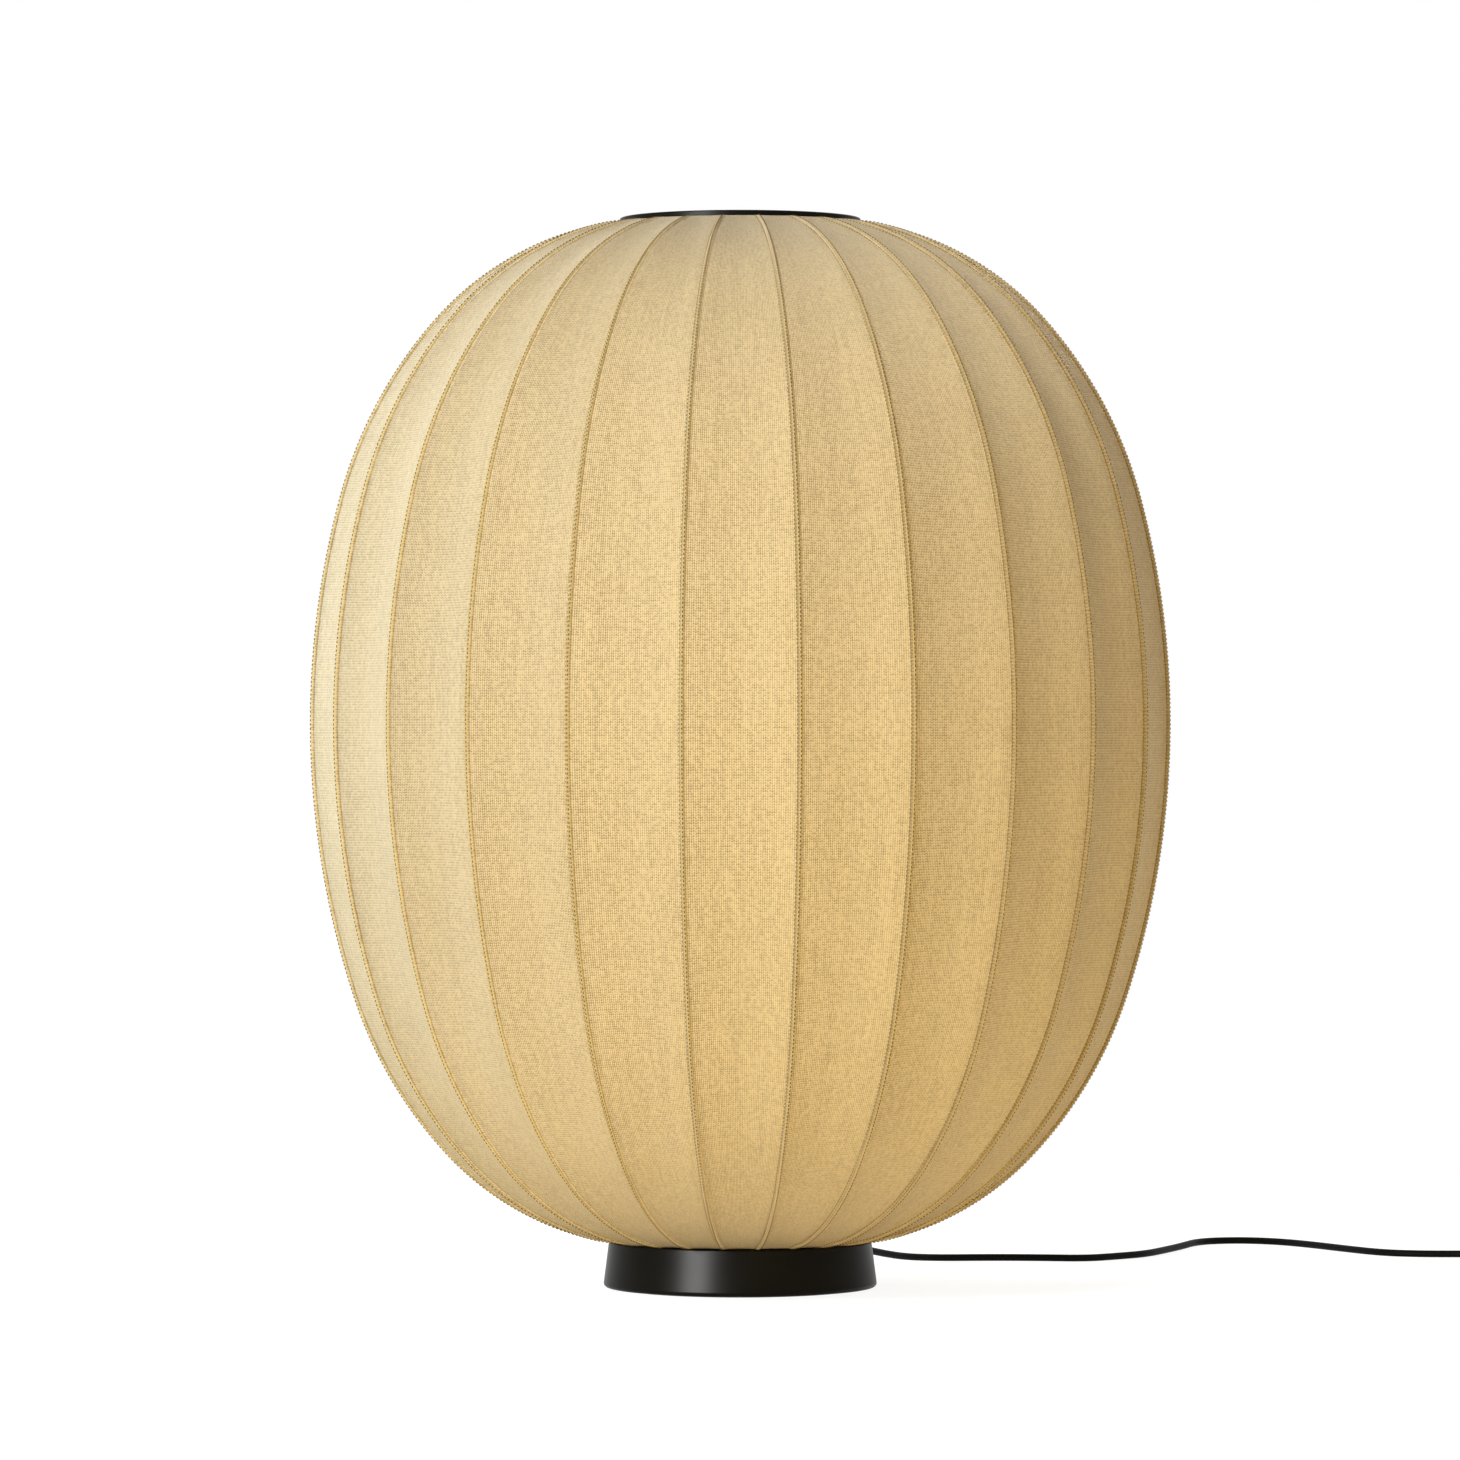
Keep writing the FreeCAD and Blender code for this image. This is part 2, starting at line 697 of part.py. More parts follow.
def cord_gland():
    """Flange on the foot's wall, threaded neck inside it and a tapered relief outside."""
    relief_from = GLAND_SEAT_R + GLAND_FLANGE_T
    foot = vec(relief_from, 0, GLAND_Z)
    cone = Part.makeCone(GLAND_RELIEF_R, GLAND_TIP_R, GLAND_RELIEF_L, foot, vec(1, 0, 0))
    neck_from = GLAND_NUT_SEAT_R - GLAND_NUT_T
    body = rotated(cone, GLAND_AZIMUTH_DEG).fuse([
        along_gland(GLAND_FLANGE_R, GLAND_SEAT_R, relief_from),
        along_gland(GLAND_NECK_R, neck_from, GLAND_SEAT_R),
    ])
    return body.cut(along_gland(CORD_R + FIT, neck_from, GLAND_END_R))


def gland_nut():
    start = GLAND_NUT_SEAT_R - GLAND_NUT_T
    nut = along_gland(GLAND_NUT_R, start, GLAND_NUT_SEAT_R)
    return nut.cut(along_gland(GLAND_NECK_R + FIT, start, GLAND_NUT_SEAT_R))


def inner_lead():
    return along_gland(CORD_R, BLOCK_R + BLOCK_L / 2, GLAND_END_R)


def terminal_block():
    """Two-way block on the ballast, with its clamp screws' wells."""
    body = block(BLOCK_R - BLOCK_L / 2, BLOCK_R + BLOCK_L / 2, -BLOCK_W / 2, BLOCK_W / 2,
                 BALLAST_TOP, BALLAST_TOP + BLOCK_H)
    wells = [
        post(BLOCK_SCREW_R, BALLAST_TOP + BLOCK_H / 2, BALLAST_TOP + BLOCK_H, BLOCK_R + sx * BLOCK_L / 4,
             sy * BLOCK_W / 4)
        for sx in (-1, 1)
        for sy in (-1, 1)
    ]
    return rotated(body.cut(group(wells)), GLAND_AZIMUTH_DEG)


def stem_lead():
    """From the block to the stem's foot, then up the stem to the holder's insert."""
    bend = STEM_LEAD_BEND
    start = (BLOCK_R - BLOCK_L / 2, 0, GLAND_Z)
    level = (bend, 0, GLAND_Z)
    upright = (0, 0, GLAND_Z + bend)
    corner = bend * (1 - math.sqrt(0.5))
    arc = Part.Arc(vec(*level), vec(corner, 0, GLAND_Z + corner), vec(*upright)).toShape()
    path = Part.Wire([line(start, level), arc, line(upright, (0, 0, INSERT_Z))])
    circle = Part.Wire(Part.makeCircle(STEM_LEAD_R, vec(*start), vec(1, 0, 0)))
    return rotated(path.makePipeShell([circle], True, False), GLAND_AZIMUTH_DEG)


# Free lead


def cord_tube(name, points):
    """A tube of straight runs and tangent arcs, each arc as large as its two runs allow."""
    corners = [vec(*p) for p in points]
    edges = []
    radii = []
    last = corners[0]
    for before, corner, after in zip(corners, corners[1:], corners[2:]):
        into = (corner - before).normalize()
        out = (after - corner).normalize()
        turn = into.getAngle(out)
        cut = ARC_SHARE * min((corner - before).Length, (after - corner).Length)
        radius = cut / math.tan(turn / 2)
        start = corner - into * cut
        end = corner + out * cut
        inward = (out - into).normalize()
        middle = corner + inward * (radius / math.cos(turn / 2) - radius)
        edges.append(Part.makeLine(last, start))
        edges.append(Part.Arc(start, middle, end).toShape())
        radii.append(radius)
        last = end
    edges.append(Part.makeLine(last, corners[-1]))
    path = Part.Wire(edges)
    circle = Part.Wire(Part.makeCircle(CORD_R, corners[0], corners[1] - corners[0]))
    tube = path.makePipeShell([circle], True, False)
    plain = math.pi * CORD_R ** 2 * path.Length
    print(f"{name}: length {path.Length:.1f}, bend radii {', '.join(f'{r:.0f}' for r in radii)}")
    print(f"{name}: volume over section times length {tube.Volume / plain:.5f}")
    return tube


def lead_points():
    azimuth = math.radians(GLAND_AZIMUTH_DEG)
    way_out = [
        (reach * math.cos(azimuth), reach * math.sin(azimuth), GLAND_Z)
        for reach in (GLAND_END_R, GLAND_END_R + LEAD_FIRST_RUN)
    ]
    inside = (SWITCH_X, SWITCH_Y + SWITCH_L / 2 - SWITCH_CORD_IN, SWITCH_SPLIT_Z)
    return [*way_out, *LEAD_ROUTE, inside]


def tail_points():
    start = SWITCH_Y - SWITCH_L / 2 + SWITCH_CORD_IN
    end = COIL_Y + 2 * CORD_R
    return [
        (SWITCH_X, start, SWITCH_SPLIT_Z),
        (SWITCH_X, start - TAIL_RUN, SWITCH_SPLIT_Z),
        (SWITCH_X, end + TAIL_RUN, COIL_LOW_Z),
        (SWITCH_X, end, COIL_LOW_Z),
    ]


def biarc(start, start_way, end, end_way):
    """Two arcs that leave start along start_way and reach end along end_way."""
    across = end - start
    ways = start_way + end_way
    spare = 2 * (1 - start_way.dot(end_way))
    lean = across.dot(ways)
    reach = (math.sqrt(lean ** 2 + spare * across.dot(across)) - lean) / spare
    near = start + start_way * reach
    far = end - end_way * reach
    joint = (near + far) * 0.5

    def arc(a, peak, b):
        chord = (a + b) * 0.5
        half = (b - a).Length / 2
        bulge = math.atan2((peak - chord).Length, half)
        middle = chord + (peak - chord) * (math.tan(bulge / 2) / math.tan(bulge))
        return Part.Arc(a, middle, b).toShape()

    return [arc(start, near, joint), arc(joint, far, end)]


def coil_stop(turn):
    """Place and direction of the lead after a number of turns: in on the floor, out on top."""
    reverse = COIL_TURNS / 2
    radius = COIL_INNER_R + COIL_PITCH * abs(turn - reverse)
    at_end = turn in (0, reverse, COIL_TURNS)
    drift = 0.0 if at_end else math.copysign(COIL_PITCH, turn - reverse)
    climb = COIL_PITCH * 2 if turn == reverse else 0.0
    z = COIL_LOW_Z + COIL_PITCH * min(max(turn - reverse + 0.25, 0.0), 0.5) * 2
    angle = math.pi + 2 * math.pi * turn
    outward = vec(math.cos(angle), math.sin(angle), 0)
    onward = vec(-math.sin(angle), math.cos(angle), 0)
    way = outward * drift + onward * (2 * math.pi * radius) + vec(0, 0, climb)
    return vec(COIL_X, COIL_Y, z) + outward * radius, way.normalize()


def least_self_gap(points):
    """Least gap between turns, on points a millimetre apart along the path."""
    apart = int(4 * math.pi * CORD_R)
    least = math.inf
    for i, a in enumerate(points):
        for b in points[i + apart::2]:
            least = min(least, a.distanceToPoint(b))
    return least - 2 * CORD_R


def cord_coil():
    """One unbroken tube that spirals in on the floor and out again on top."""
    stops = [coil_stop(quarter / 4) for quarter in range(4 * COIL_TURNS + 1)]
    first, first_way = stops[0]
    last, last_way = stops[-1]
    start = first - first_way * (2 * CORD_R)
    edges = [Part.makeLine(start, first)]
    for (a, a_way), (b, b_way) in zip(stops, stops[1:]):
        edges += biarc(a, a_way, b, b_way)
    edges.append(Part.makeLine(last, last + last_way * PLUG_LEG))
    path = Part.Wire(edges)
    circle = Part.Wire(Part.makeCircle(CORD_R, start, first_way))
    tube = path.makePipeShell([circle], True, False)
    plain = math.pi * CORD_R ** 2 * path.Length
    gap = least_self_gap(path.discretize(Number=int(path.Length)))
    print(f"cord_coil: length {path.Length:.1f}, least gap to itself {gap:.2f}")
    print(f"cord_coil: volume over section times length {tube.Volume / plain:.5f}")
    return tube


def cord_tie():
    """Band round all the turns on the side away from the lead's two ends."""
    inner = COIL_INNER_R - CORD_R - TIE_CLEAR
    outer = COIL_INNER_R + COIL_PITCH * (COIL_TURNS / 2 - 0.5) + CORD_R + TIE_CLEAR
    top = COIL_HIGH_Z + CORD_R + TIE_CLEAR
    half = TIE_W / 2
    band = block(inner - TIE_T, outer + TIE_T, -half, half, 0, top + TIE_T)
    band = rounded(band, TIE_CORNER, lambda e: abs(e.BoundBox.YLength - TIE_W) < TOUCH)
    band = band.cut(block(inner, outer, -half, half, TIE_T, top))
    return moved(band, COIL_X, COIL_Y, 0)


# Plug

PLUG_BACK_Y = COIL_Y - PLUG_LEG
PLUG_FACE_Y = PLUG_BACK_Y - PLUG_RELIEF_L - PLUG_L
PIN_PLACES = (-PIN_SPACING / 2, PIN_SPACING / 2)


def plug_pin(x, radius):
    start = vec(SWITCH_X + x, PLUG_FACE_Y + PIN_SEAT, COIL_HIGH_Z)
    return Part.makeCylinder(radius, PIN_L + PIN_SEAT, start, vec(0, -1, 0))


def plug_body():
    """Flat two-pin plug with round shoulders and a tapered relief."""
    rear = PLUG_FACE_Y + PLUG_L
    body = block(SWITCH_X - PLUG_W / 2, SWITCH_X + PLUG_W / 2, PLUG_FACE_Y, rear, 0, 2 * COIL_HIGH_Z)
    upright = [e for e in body.Edges if abs(e.BoundBox.ZLength - 2 * COIL_HIGH_Z) < TOUCH]
    body = body.makeFillet(PLUG_SHOULDER, [e for e in upright if abs(e.BoundBox.YMin - rear) < TOUCH])
    flat = [
        e for e in body.Edges
        if e.BoundBox.ZLength < TOUCH and e.BoundBox.YMax > PLUG_FACE_Y + TOUCH
    ]
    body = body.makeFillet(PLUG_EDGE, flat)
    cone = Part.makeCone(PLUG_TIP_R, PLUG_RELIEF_R, PLUG_RELIEF_L, vec(SWITCH_X, PLUG_BACK_Y, COIL_HIGH_Z),
                         vec(0, -1, 0))
    return body.fuse(cone).cut(group([plug_pin(x, PIN_R + FIT) for x in PIN_PLACES]))


def plug_pins():
    tip_y = PLUG_FACE_Y - PIN_L
    pins = [
        rounded(plug_pin(x, PIN_R), PIN_TIP, lambda e: e.BoundBox.YMax < tip_y + TOUCH)
        for x in PIN_PLACES
    ]
    return group(pins)


# Switch, modelled about its own centre and then moved to its place

SWITCH_TOP_UNDER = SWITCH_H - SWITCH_TOP_T
BUTTON_LOW = SWITCH_TOP_UNDER - BUTTON_CLEAR - BUTTON_FLANGE_T
SWITCH_POSTS = ((SWITCH_POST_X, SWITCH_POST_Y), (-SWITCH_POST_X, -SWITCH_POST_Y))


def stadium(shrink, low, high):
    """Upright bar with two flat sides and round ends."""
    radius = SWITCH_W / 2 - shrink
    reach = SWITCH_L / 2 - SWITCH_W / 2
    middle = block(-radius, radius, -reach, reach, low, high)
    ends = [post(radius, low, high, 0, side * reach) for side in (-1, 1)]
    return middle.fuse(ends).removeSplitter()


def cord_hole():
    """Room for the lead through both ends, on the split between base and cover."""
    start = vec(0, -SWITCH_L, SWITCH_SPLIT_Z)
    return Part.makeCylinder(CORD_R + FIT, 2 * SWITCH_L, start, vec(0, 1, 0))


def switch_screw(extra):
    screw = countersunk(SWITCH_SCREW_R + extra, SWITCH_HEAD_R + extra, 0, SWITCH_SCREW_L + extra)
    return [moved(screw, x, y, 0) for x, y in SWITCH_POSTS]


def in_place(shape):
    return moved(shape, SWITCH_X, SWITCH_Y, 0)


def switch_base():
    tray = stadium(0, 0, SWITCH_SPLIT_Z).cut(stadium(SWITCH_WALL, SWITCH_WALL, SWITCH_SPLIT_Z))
    return in_place(tray.cut(group([cord_hole(), *switch_screw(FIT)])))


def switch_cover():
    lid = stadium(0, SWITCH_SPLIT_Z, SWITCH_H)
    lid = rounded(lid, SWITCH_EDGE, level_edge(SWITCH_H))
    lid = lid.cut(stadium(SWITCH_WALL, SWITCH_SPLIT_Z, SWITCH_TOP_UNDER))
    posts = [post(SWITCH_POST_R, SWITCH_WALL, SWITCH_TOP_UNDER, x, y) for x, y in SWITCH_POSTS]
    hole = post(BUTTON_R + BUTTON_CLEAR, SWITCH_TOP_UNDER, SWITCH_H)
    return in_place(lid.fuse(posts).cut(group([hole, cord_hole(), *switch_screw(FIT)])))


def switch_button():
    top = SWITCH_H + BUTTON_PROUD
    button = rounded(post(BUTTON_R, BUTTON_LOW, top), BUTTON_EDGE, level_edge(top))
    flange = post(BUTTON_R + BUTTON_FLANGE, BUTTON_LOW, BUTTON_LOW + BUTTON_FLANGE_T)
    return in_place(button.fuse(flange))


def switch_module():
    top = BUTTON_LOW - BUTTON_TRAVEL - MODULE_CLEAR
    return in_place(block(-MODULE_W / 2, MODULE_W / 2, -MODULE_L / 2, MODULE_L / 2, SWITCH_WALL, top))


def switch_screws():
    return in_place(group(switch_screw(0.0)))


def main():
    os.makedirs("parts", exist_ok=True)
    pieces = [
        knitted_cover, top_rib_ring, top_cover_ring, top_ring_screws, bottom_rib_ring,
        foot_shell, foot_pad, base_plate, ballast_plate,
        lamp_stem, stem_collar, stem_nut, holder_cap, holder_body, holder_insert, screw_shell, centre_contact,
        bulb_cap, bulb_glass,
        cord_gland, gland_nut, inner_lead, terminal_block, stem_lead,
        cord_coil, cord_tie, plug_body, plug_pins,
        switch_base, switch_cover, switch_button, switch_module, switch_screws,
    ]
    for piece in pieces:
        export(piece.__name__, piece())
    export("base_screws", group(base_screw_set(0.0)))
    export("cord_lead", cord_tube("cord_lead", lead_points()))
    export("cord_tail", cord_tube("cord_tail", tail_points()))
    for number, rod in enumerate(around(rib(), RIB_COUNT, FRONT_GORE_DEG + GORE_DEG / 2), start=1):
        export(f"rib_{number:02d}", rod)
    print(f"belly at {BELLY_Z:.1f}, crown at {CROWN_Z:.1f}, top at {CROWN_Z + TOP_RING_T:.1f}")


main()
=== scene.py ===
"""Looks of a knitted floor lamp, built round its packed construction, in metres.

The knitted cover, the thread that sews it to its ribs and the mains lead are modelled here.
Every other piece keeps the shape of the construction and gets its finish.
"""

from __future__ import annotations

import json
import logging
import math
from collections.abc import Callable, Iterable, Sequence
from dataclasses import dataclass
from enum import Enum

import bpy
import numpy as np
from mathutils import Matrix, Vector

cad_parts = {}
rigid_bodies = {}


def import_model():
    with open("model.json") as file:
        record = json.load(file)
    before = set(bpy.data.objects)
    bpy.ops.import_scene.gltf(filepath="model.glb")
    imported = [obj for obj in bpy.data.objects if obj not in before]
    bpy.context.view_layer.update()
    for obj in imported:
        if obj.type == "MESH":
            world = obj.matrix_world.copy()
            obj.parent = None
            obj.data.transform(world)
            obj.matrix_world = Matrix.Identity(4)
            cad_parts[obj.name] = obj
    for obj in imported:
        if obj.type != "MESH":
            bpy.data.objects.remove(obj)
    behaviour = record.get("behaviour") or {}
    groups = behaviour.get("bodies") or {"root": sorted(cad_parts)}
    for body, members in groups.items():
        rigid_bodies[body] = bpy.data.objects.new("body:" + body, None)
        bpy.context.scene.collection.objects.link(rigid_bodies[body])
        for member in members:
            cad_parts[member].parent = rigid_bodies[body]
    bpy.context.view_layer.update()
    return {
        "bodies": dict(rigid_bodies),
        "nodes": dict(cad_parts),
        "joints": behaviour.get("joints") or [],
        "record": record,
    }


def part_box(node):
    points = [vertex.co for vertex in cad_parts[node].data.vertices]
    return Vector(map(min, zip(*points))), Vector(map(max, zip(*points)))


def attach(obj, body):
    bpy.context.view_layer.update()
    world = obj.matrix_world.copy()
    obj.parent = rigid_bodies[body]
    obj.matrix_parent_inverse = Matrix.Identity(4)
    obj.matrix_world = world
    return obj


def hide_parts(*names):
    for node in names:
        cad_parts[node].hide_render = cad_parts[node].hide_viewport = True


LOG = logging.getLogger("knitted_lamp")
MM = 0.001
WHITE = (1.0, 1.0, 1.0, 1.0)

Colour = tuple[float, float, float]
Point = tuple[float, float, float]


class Body(str, Enum):
    """The parts of the lamp that move as one."""

    FOOT = "foot"
    SHADE = "shade"


# Shader maths


def math_method(operation: str, swapped: bool = False) -> Callable[..., Signal]:
    """A method of Signal that adds one Math node.

    Args:
        operation: Name of the node's operation.
        swapped: Whether the signal itself is the last input.

    Returns:
        The method.
    """

    def method(self: Signal, *others: Signal | float) -> Signal:
        values = (*others, self) if swapped else (self, *others)
        node = self.graph.node("Math", dict(enumerate(values)), operation=operation)
        return Signal(self.graph, node.outputs[0])

    return method


@dataclass(frozen=True)
class Signal:
    """A number that varies over a surface, with Python's operators as Math nodes.

    Attributes:
        graph: The nodes that the socket belongs to.
        socket: The output that gives the number.
    """

    graph: NodeGraph
    socket: bpy.types.NodeSocket

    __add__ = math_method("ADD")
    __radd__ = math_method("ADD", swapped=True)
    __sub__ = math_method("SUBTRACT")
    __rsub__ = math_method("SUBTRACT", swapped=True)
    __mul__ = math_method("MULTIPLY")
    __truediv__ = math_method("DIVIDE")
    __abs__ = math_method("ABSOLUTE")
    fraction = math_method("FRACT")
    whole = math_method("FLOOR")
    cosine = math_method("COSINE")
    sine = math_method("SINE")
    least = math_method("MINIMUM")
    most = math_method("MAXIMUM")

    def eased(self, low: float, high: float) -> Signal:
        """Rise smoothly from 0 at low to 1 at high, or fall where low is the larger.

        Args:
            low: Where the result is 0.
            high: Where the result is 1.

        Returns:
            A number from 0 to 1.
        """
        inputs = {"Value": self, "From Min": low, "From Max": high}
        node = self.graph.node("MapRange", inputs, interpolation_type="SMOOTHSTEP")
        return Signal(self.graph, node.outputs["Result"])


class NodeGraph:
    """The nodes of a material or of the world."""

    def __init__(self, tree: bpy.types.NodeTree) -> None:
        """Start with an empty tree.

        Args:
            tree: The tree that the nodes go into.
        """
        self.tree = tree
        self.tree.nodes.clear()

    def node(
        self, kind: str, inputs: dict[str | int, object] | None = None, **settings: object,
    ) -> bpy.types.Node:
        """Add a shader node, set it, then fill its sockets.

        Args:
            kind: The node's type, without ShaderNode in front.
            inputs: A number, a colour, a socket or a signal for each named or counted input.
            settings: The node's own settings, set first.

        Returns:
            The new node.
        """
        made = self.tree.nodes.new(f"ShaderNode{kind}")
        for name, value in settings.items():
            setattr(made, name, value)
        for key, value in (inputs or {}).items():
            given = value.socket if isinstance(value, Signal) else value
            if isinstance(given, bpy.types.NodeSocket):
                self.tree.links.new(given, made.inputs[key])
            else:
                made.inputs[key].default_value = given
        return made

    def seen(self) -> Signal:
        """1 for rays that show the backdrop: straight, mirrored or through glass."""
        path = self.node("LightPath").outputs
        straight, mirrored, refracted = (
            Signal(self, path[f"Is {kind} Ray"]) for kind in ("Camera", "Glossy", "Transmission")
        )
        return straight.most(mirrored).most(refracted)


class MaterialGraph(NodeGraph):
    """The nodes of one material."""

    def __init__(self, name: str) -> None:
        """Start an empty material.

        Args:
            name: The material's name.
        """
        self.material = bpy.data.materials.new(name)
        self.material.use_nodes = True
        super().__init__(self.material.node_tree)

    def place(self, stretch: Point = (1.0, 1.0, 1.0)) -> bpy.types.NodeSocket:
        """Object coordinates, stretched along the axes.

        Args:
            stretch: Factor along each axis.

        Returns:
            The vector's socket.
        """
        where = self.node("TexCoord").outputs["Object"]
        inputs = {"Vector": where, "Scale": stretch}
        return self.node("Mapping", inputs, vector_type="POINT").outputs["Vector"]

    def chart(self, name: str) -> tuple[Signal, Signal]:
        """Both numbers of a UV map.

        Args:
            name: The UV map's name.

        Returns:
            The first and the second number.
        """
        uv = self.node("UVMap", uv_map=name).outputs["UV"]
        split = self.node("SeparateXYZ", {"Vector": uv})
        return Signal(self, split.outputs["X"]), Signal(self, split.outputs["Y"])

    def vector(self, x: Signal | float, y: Signal | float, z: Signal | float) -> bpy.types.NodeSocket:
        """Three numbers as a vector's socket."""
        return self.node("CombineXYZ", {"X": x, "Y": y, "Z": z}).outputs["Vector"]

    def noise(self, where: bpy.types.NodeSocket, per_metre: float, detail: float = 2.0) -> Signal:
        """Smooth noise from 0 to 1.

        Args:
            where: The vector that it is read at.
            per_metre: How many blots a metre holds.
            detail: Octaves of finer noise on top.

        Returns:
            The noise.
        """
        inputs = {"Vector": where, "Scale": per_metre, "Detail": detail}
        return Signal(self, self.node("TexNoise", inputs).outputs["Fac"])

    def chance(self, first: Signal, second: Signal) -> Signal:
        """A random number from 0 to 1 for each pair of whole numbers.

        Args:
            first: First number of the pair.
            second: Second number of the pair.

        Returns:
            The random number.
        """
        spot = self.vector(first, second, 0.0)
        made = self.node("TexWhiteNoise", {"Vector": spot}, noise_dimensions="2D")
        return Signal(self, made.outputs["Value"])

    def mix(
        self,
        share: Signal | float,
        first: bpy.types.NodeSocket | Colour,
        second: bpy.types.NodeSocket | Colour,
    ) -> bpy.types.NodeSocket:
        """A colour between two.

        Args:
            share: How much of the second colour shows.
            first: Colour at a share of 0.
            second: Colour at a share of 1.

        Returns:
            The colour's socket.
        """
        opaque = [(*c, 1.0) if isinstance(c, tuple) else c for c in (first, second)]
        made = self.node("Mix", {0: share, 6: opaque[0], 7: opaque[1]}, data_type="RGBA")
        return made.outputs[2]

    def bump(self, height: Signal, depth: float) -> bpy.types.NodeSocket:
        """A surface normal tilted by a relief.

        Args:
            height: The relief, as a share of the depth.
            depth: What a height of 1 is, in metres.

        Returns:
            The normal's socket.
        """
        inputs = {"Height": height, "Distance": depth, "Strength": 1.0}
        return self.node("Bump", inputs).outputs["Normal"]

    def close(self, inputs: dict[str, object], through: float = 0.0) -> bpy.types.Material:
        """End the material in a Principled shader.

        Args:
            inputs: The shader's inputs by name.
            through: Share of the light that goes through to the other side, in the base colour.

        Returns:
            The finished material.
        """
        surface = self.node("BsdfPrincipled", inputs).outputs["BSDF"]
        if through:
            behind = self.node("BsdfTranslucent", {"Color": inputs["Base Color"]})
            shares = {0: through, 1: surface, 2: behind.outputs["BSDF"]}
            surface = self.node("MixShader", shares).outputs["Shader"]
        self.node("OutputMaterial", {"Surface": surface})
        return self.material


# Finishes


@dataclass(frozen=True)
class Finish:
    """A smooth skin with a fine grain, blotches of tint and patches of gloss.

    Attributes:
        name: Name of the material.
        colour: Base colour, linear.
        roughness: Mean roughness.
        tint_spread: How far the colour strays, as a share.
        gloss_spread: How far the roughness strays.
        tint_shares: Shares of the blotches and of the grain in the tint.
        tint_edges: Levels of noise at which the tint is darkest and lightest.
        blots: Blotches to a metre.
        blot_detail: Octaves of finer blotches.
        grains: Grains to a metre.
        grain_depth: Height of the grain in metres.
        metallic: 1 for bare metal.
        specular: Level of the mirror part.
        coat: Weight of a clear coat.
        turned: Stretch of the grain along the axes, for lathe or drawing marks.
    """

    name: str
    colour: Colour
    roughness: float
    tint_spread: float = 0.12
    gloss_spread: float = 0.08
    tint_shares: tuple[float, float] = (0.7, 0.3)
    tint_edges: tuple[float, float] = (0.3, 0.7)
    blots: float = 30.0
    blot_detail: float = 4.0
    grains: float = 1500.0
    grain_depth: float = 0.02 * MM
    metallic: float = 0.0
    specular: float = 0.5
    coat: float = 0.0
    turned: Point = (1.0, 1.0, 1.0)

    def material(self) -> bpy.types.Material:
        """The finish as a material."""
        graph = MaterialGraph(self.name)
        blotches = graph.noise(graph.place(), self.blots, self.blot_detail)
        grain = graph.noise(graph.place(self.turned), self.grains)
        darker = tuple(c * (1 - self.tint_spread) for c in self.colour)
        lighter = tuple(min(1.0, c * (1 + self.tint_spread)) for c in self.colour)
        tint = blotches * self.tint_shares[0] + grain * self.tint_shares[1]
        return graph.close({
            "Base Color": graph.mix(tint.eased(*self.tint_edges), darker, lighter),
            "Roughness": self.roughness + (blotches - 0.5) * (2 * self.gloss_spread),
            "Metallic": self.metallic,
            "Specular IOR Level": self.specular,
            "Coat Weight": self.coat,
            "Normal": graph.bump(grain, self.grain_depth),
        })


@dataclass(frozen=True)
class CastIron(Finish):
    """A raw casting with pits and a bloom of rust.

    Attributes:
        rust: Colour of the rust, linear.
        rust_edges: Levels of noise at which the rust starts and is full.
        rust_share: How much the rust covers where it is full.
        pits: Pits to a metre.
        pit_detail: Octaves of finer pits.
    """

    blot_detail: float = 6.0
    rust: Colour = (0.12, 0.05, 0.025)
    rust_edges: tuple[float, float] = (0.55, 0.75)
    rust_share: float = 0.6
    pits: float = 220.0
    pit_detail: float = 3.0

    def material(self) -> bpy.types.Material:
        """The finish as a material."""
        graph = MaterialGraph(self.name)
        bloom = graph.noise(graph.place(), self.blots, self.blot_detail)
        pits = graph.noise(graph.place(), self.pits, self.pit_detail)
        covered = bloom.eased(*self.rust_edges) * self.rust_share
        return graph.close({
            "Base Color": graph.mix(covered, self.colour, self.rust),
            "Roughness": self.roughness + (bloom - 0.5) * (2 * self.gloss_spread),
            "Metallic": self.metallic,
            "Normal": graph.bump(pits, self.grain_depth),
        })


@dataclass(frozen=True)
class MouldedPlastic(Finish):
    """Black plastic with the fine grain of its mould."""

    grains: float = 2600.0
    grain_depth: float = 0.04 * MM
    specular: float = 0.22


@dataclass(frozen=True)
class TurnedMetal(Finish):
    """Bright metal with fine turning marks."""

    metallic: float = 1.0
    grains: float = 900.0


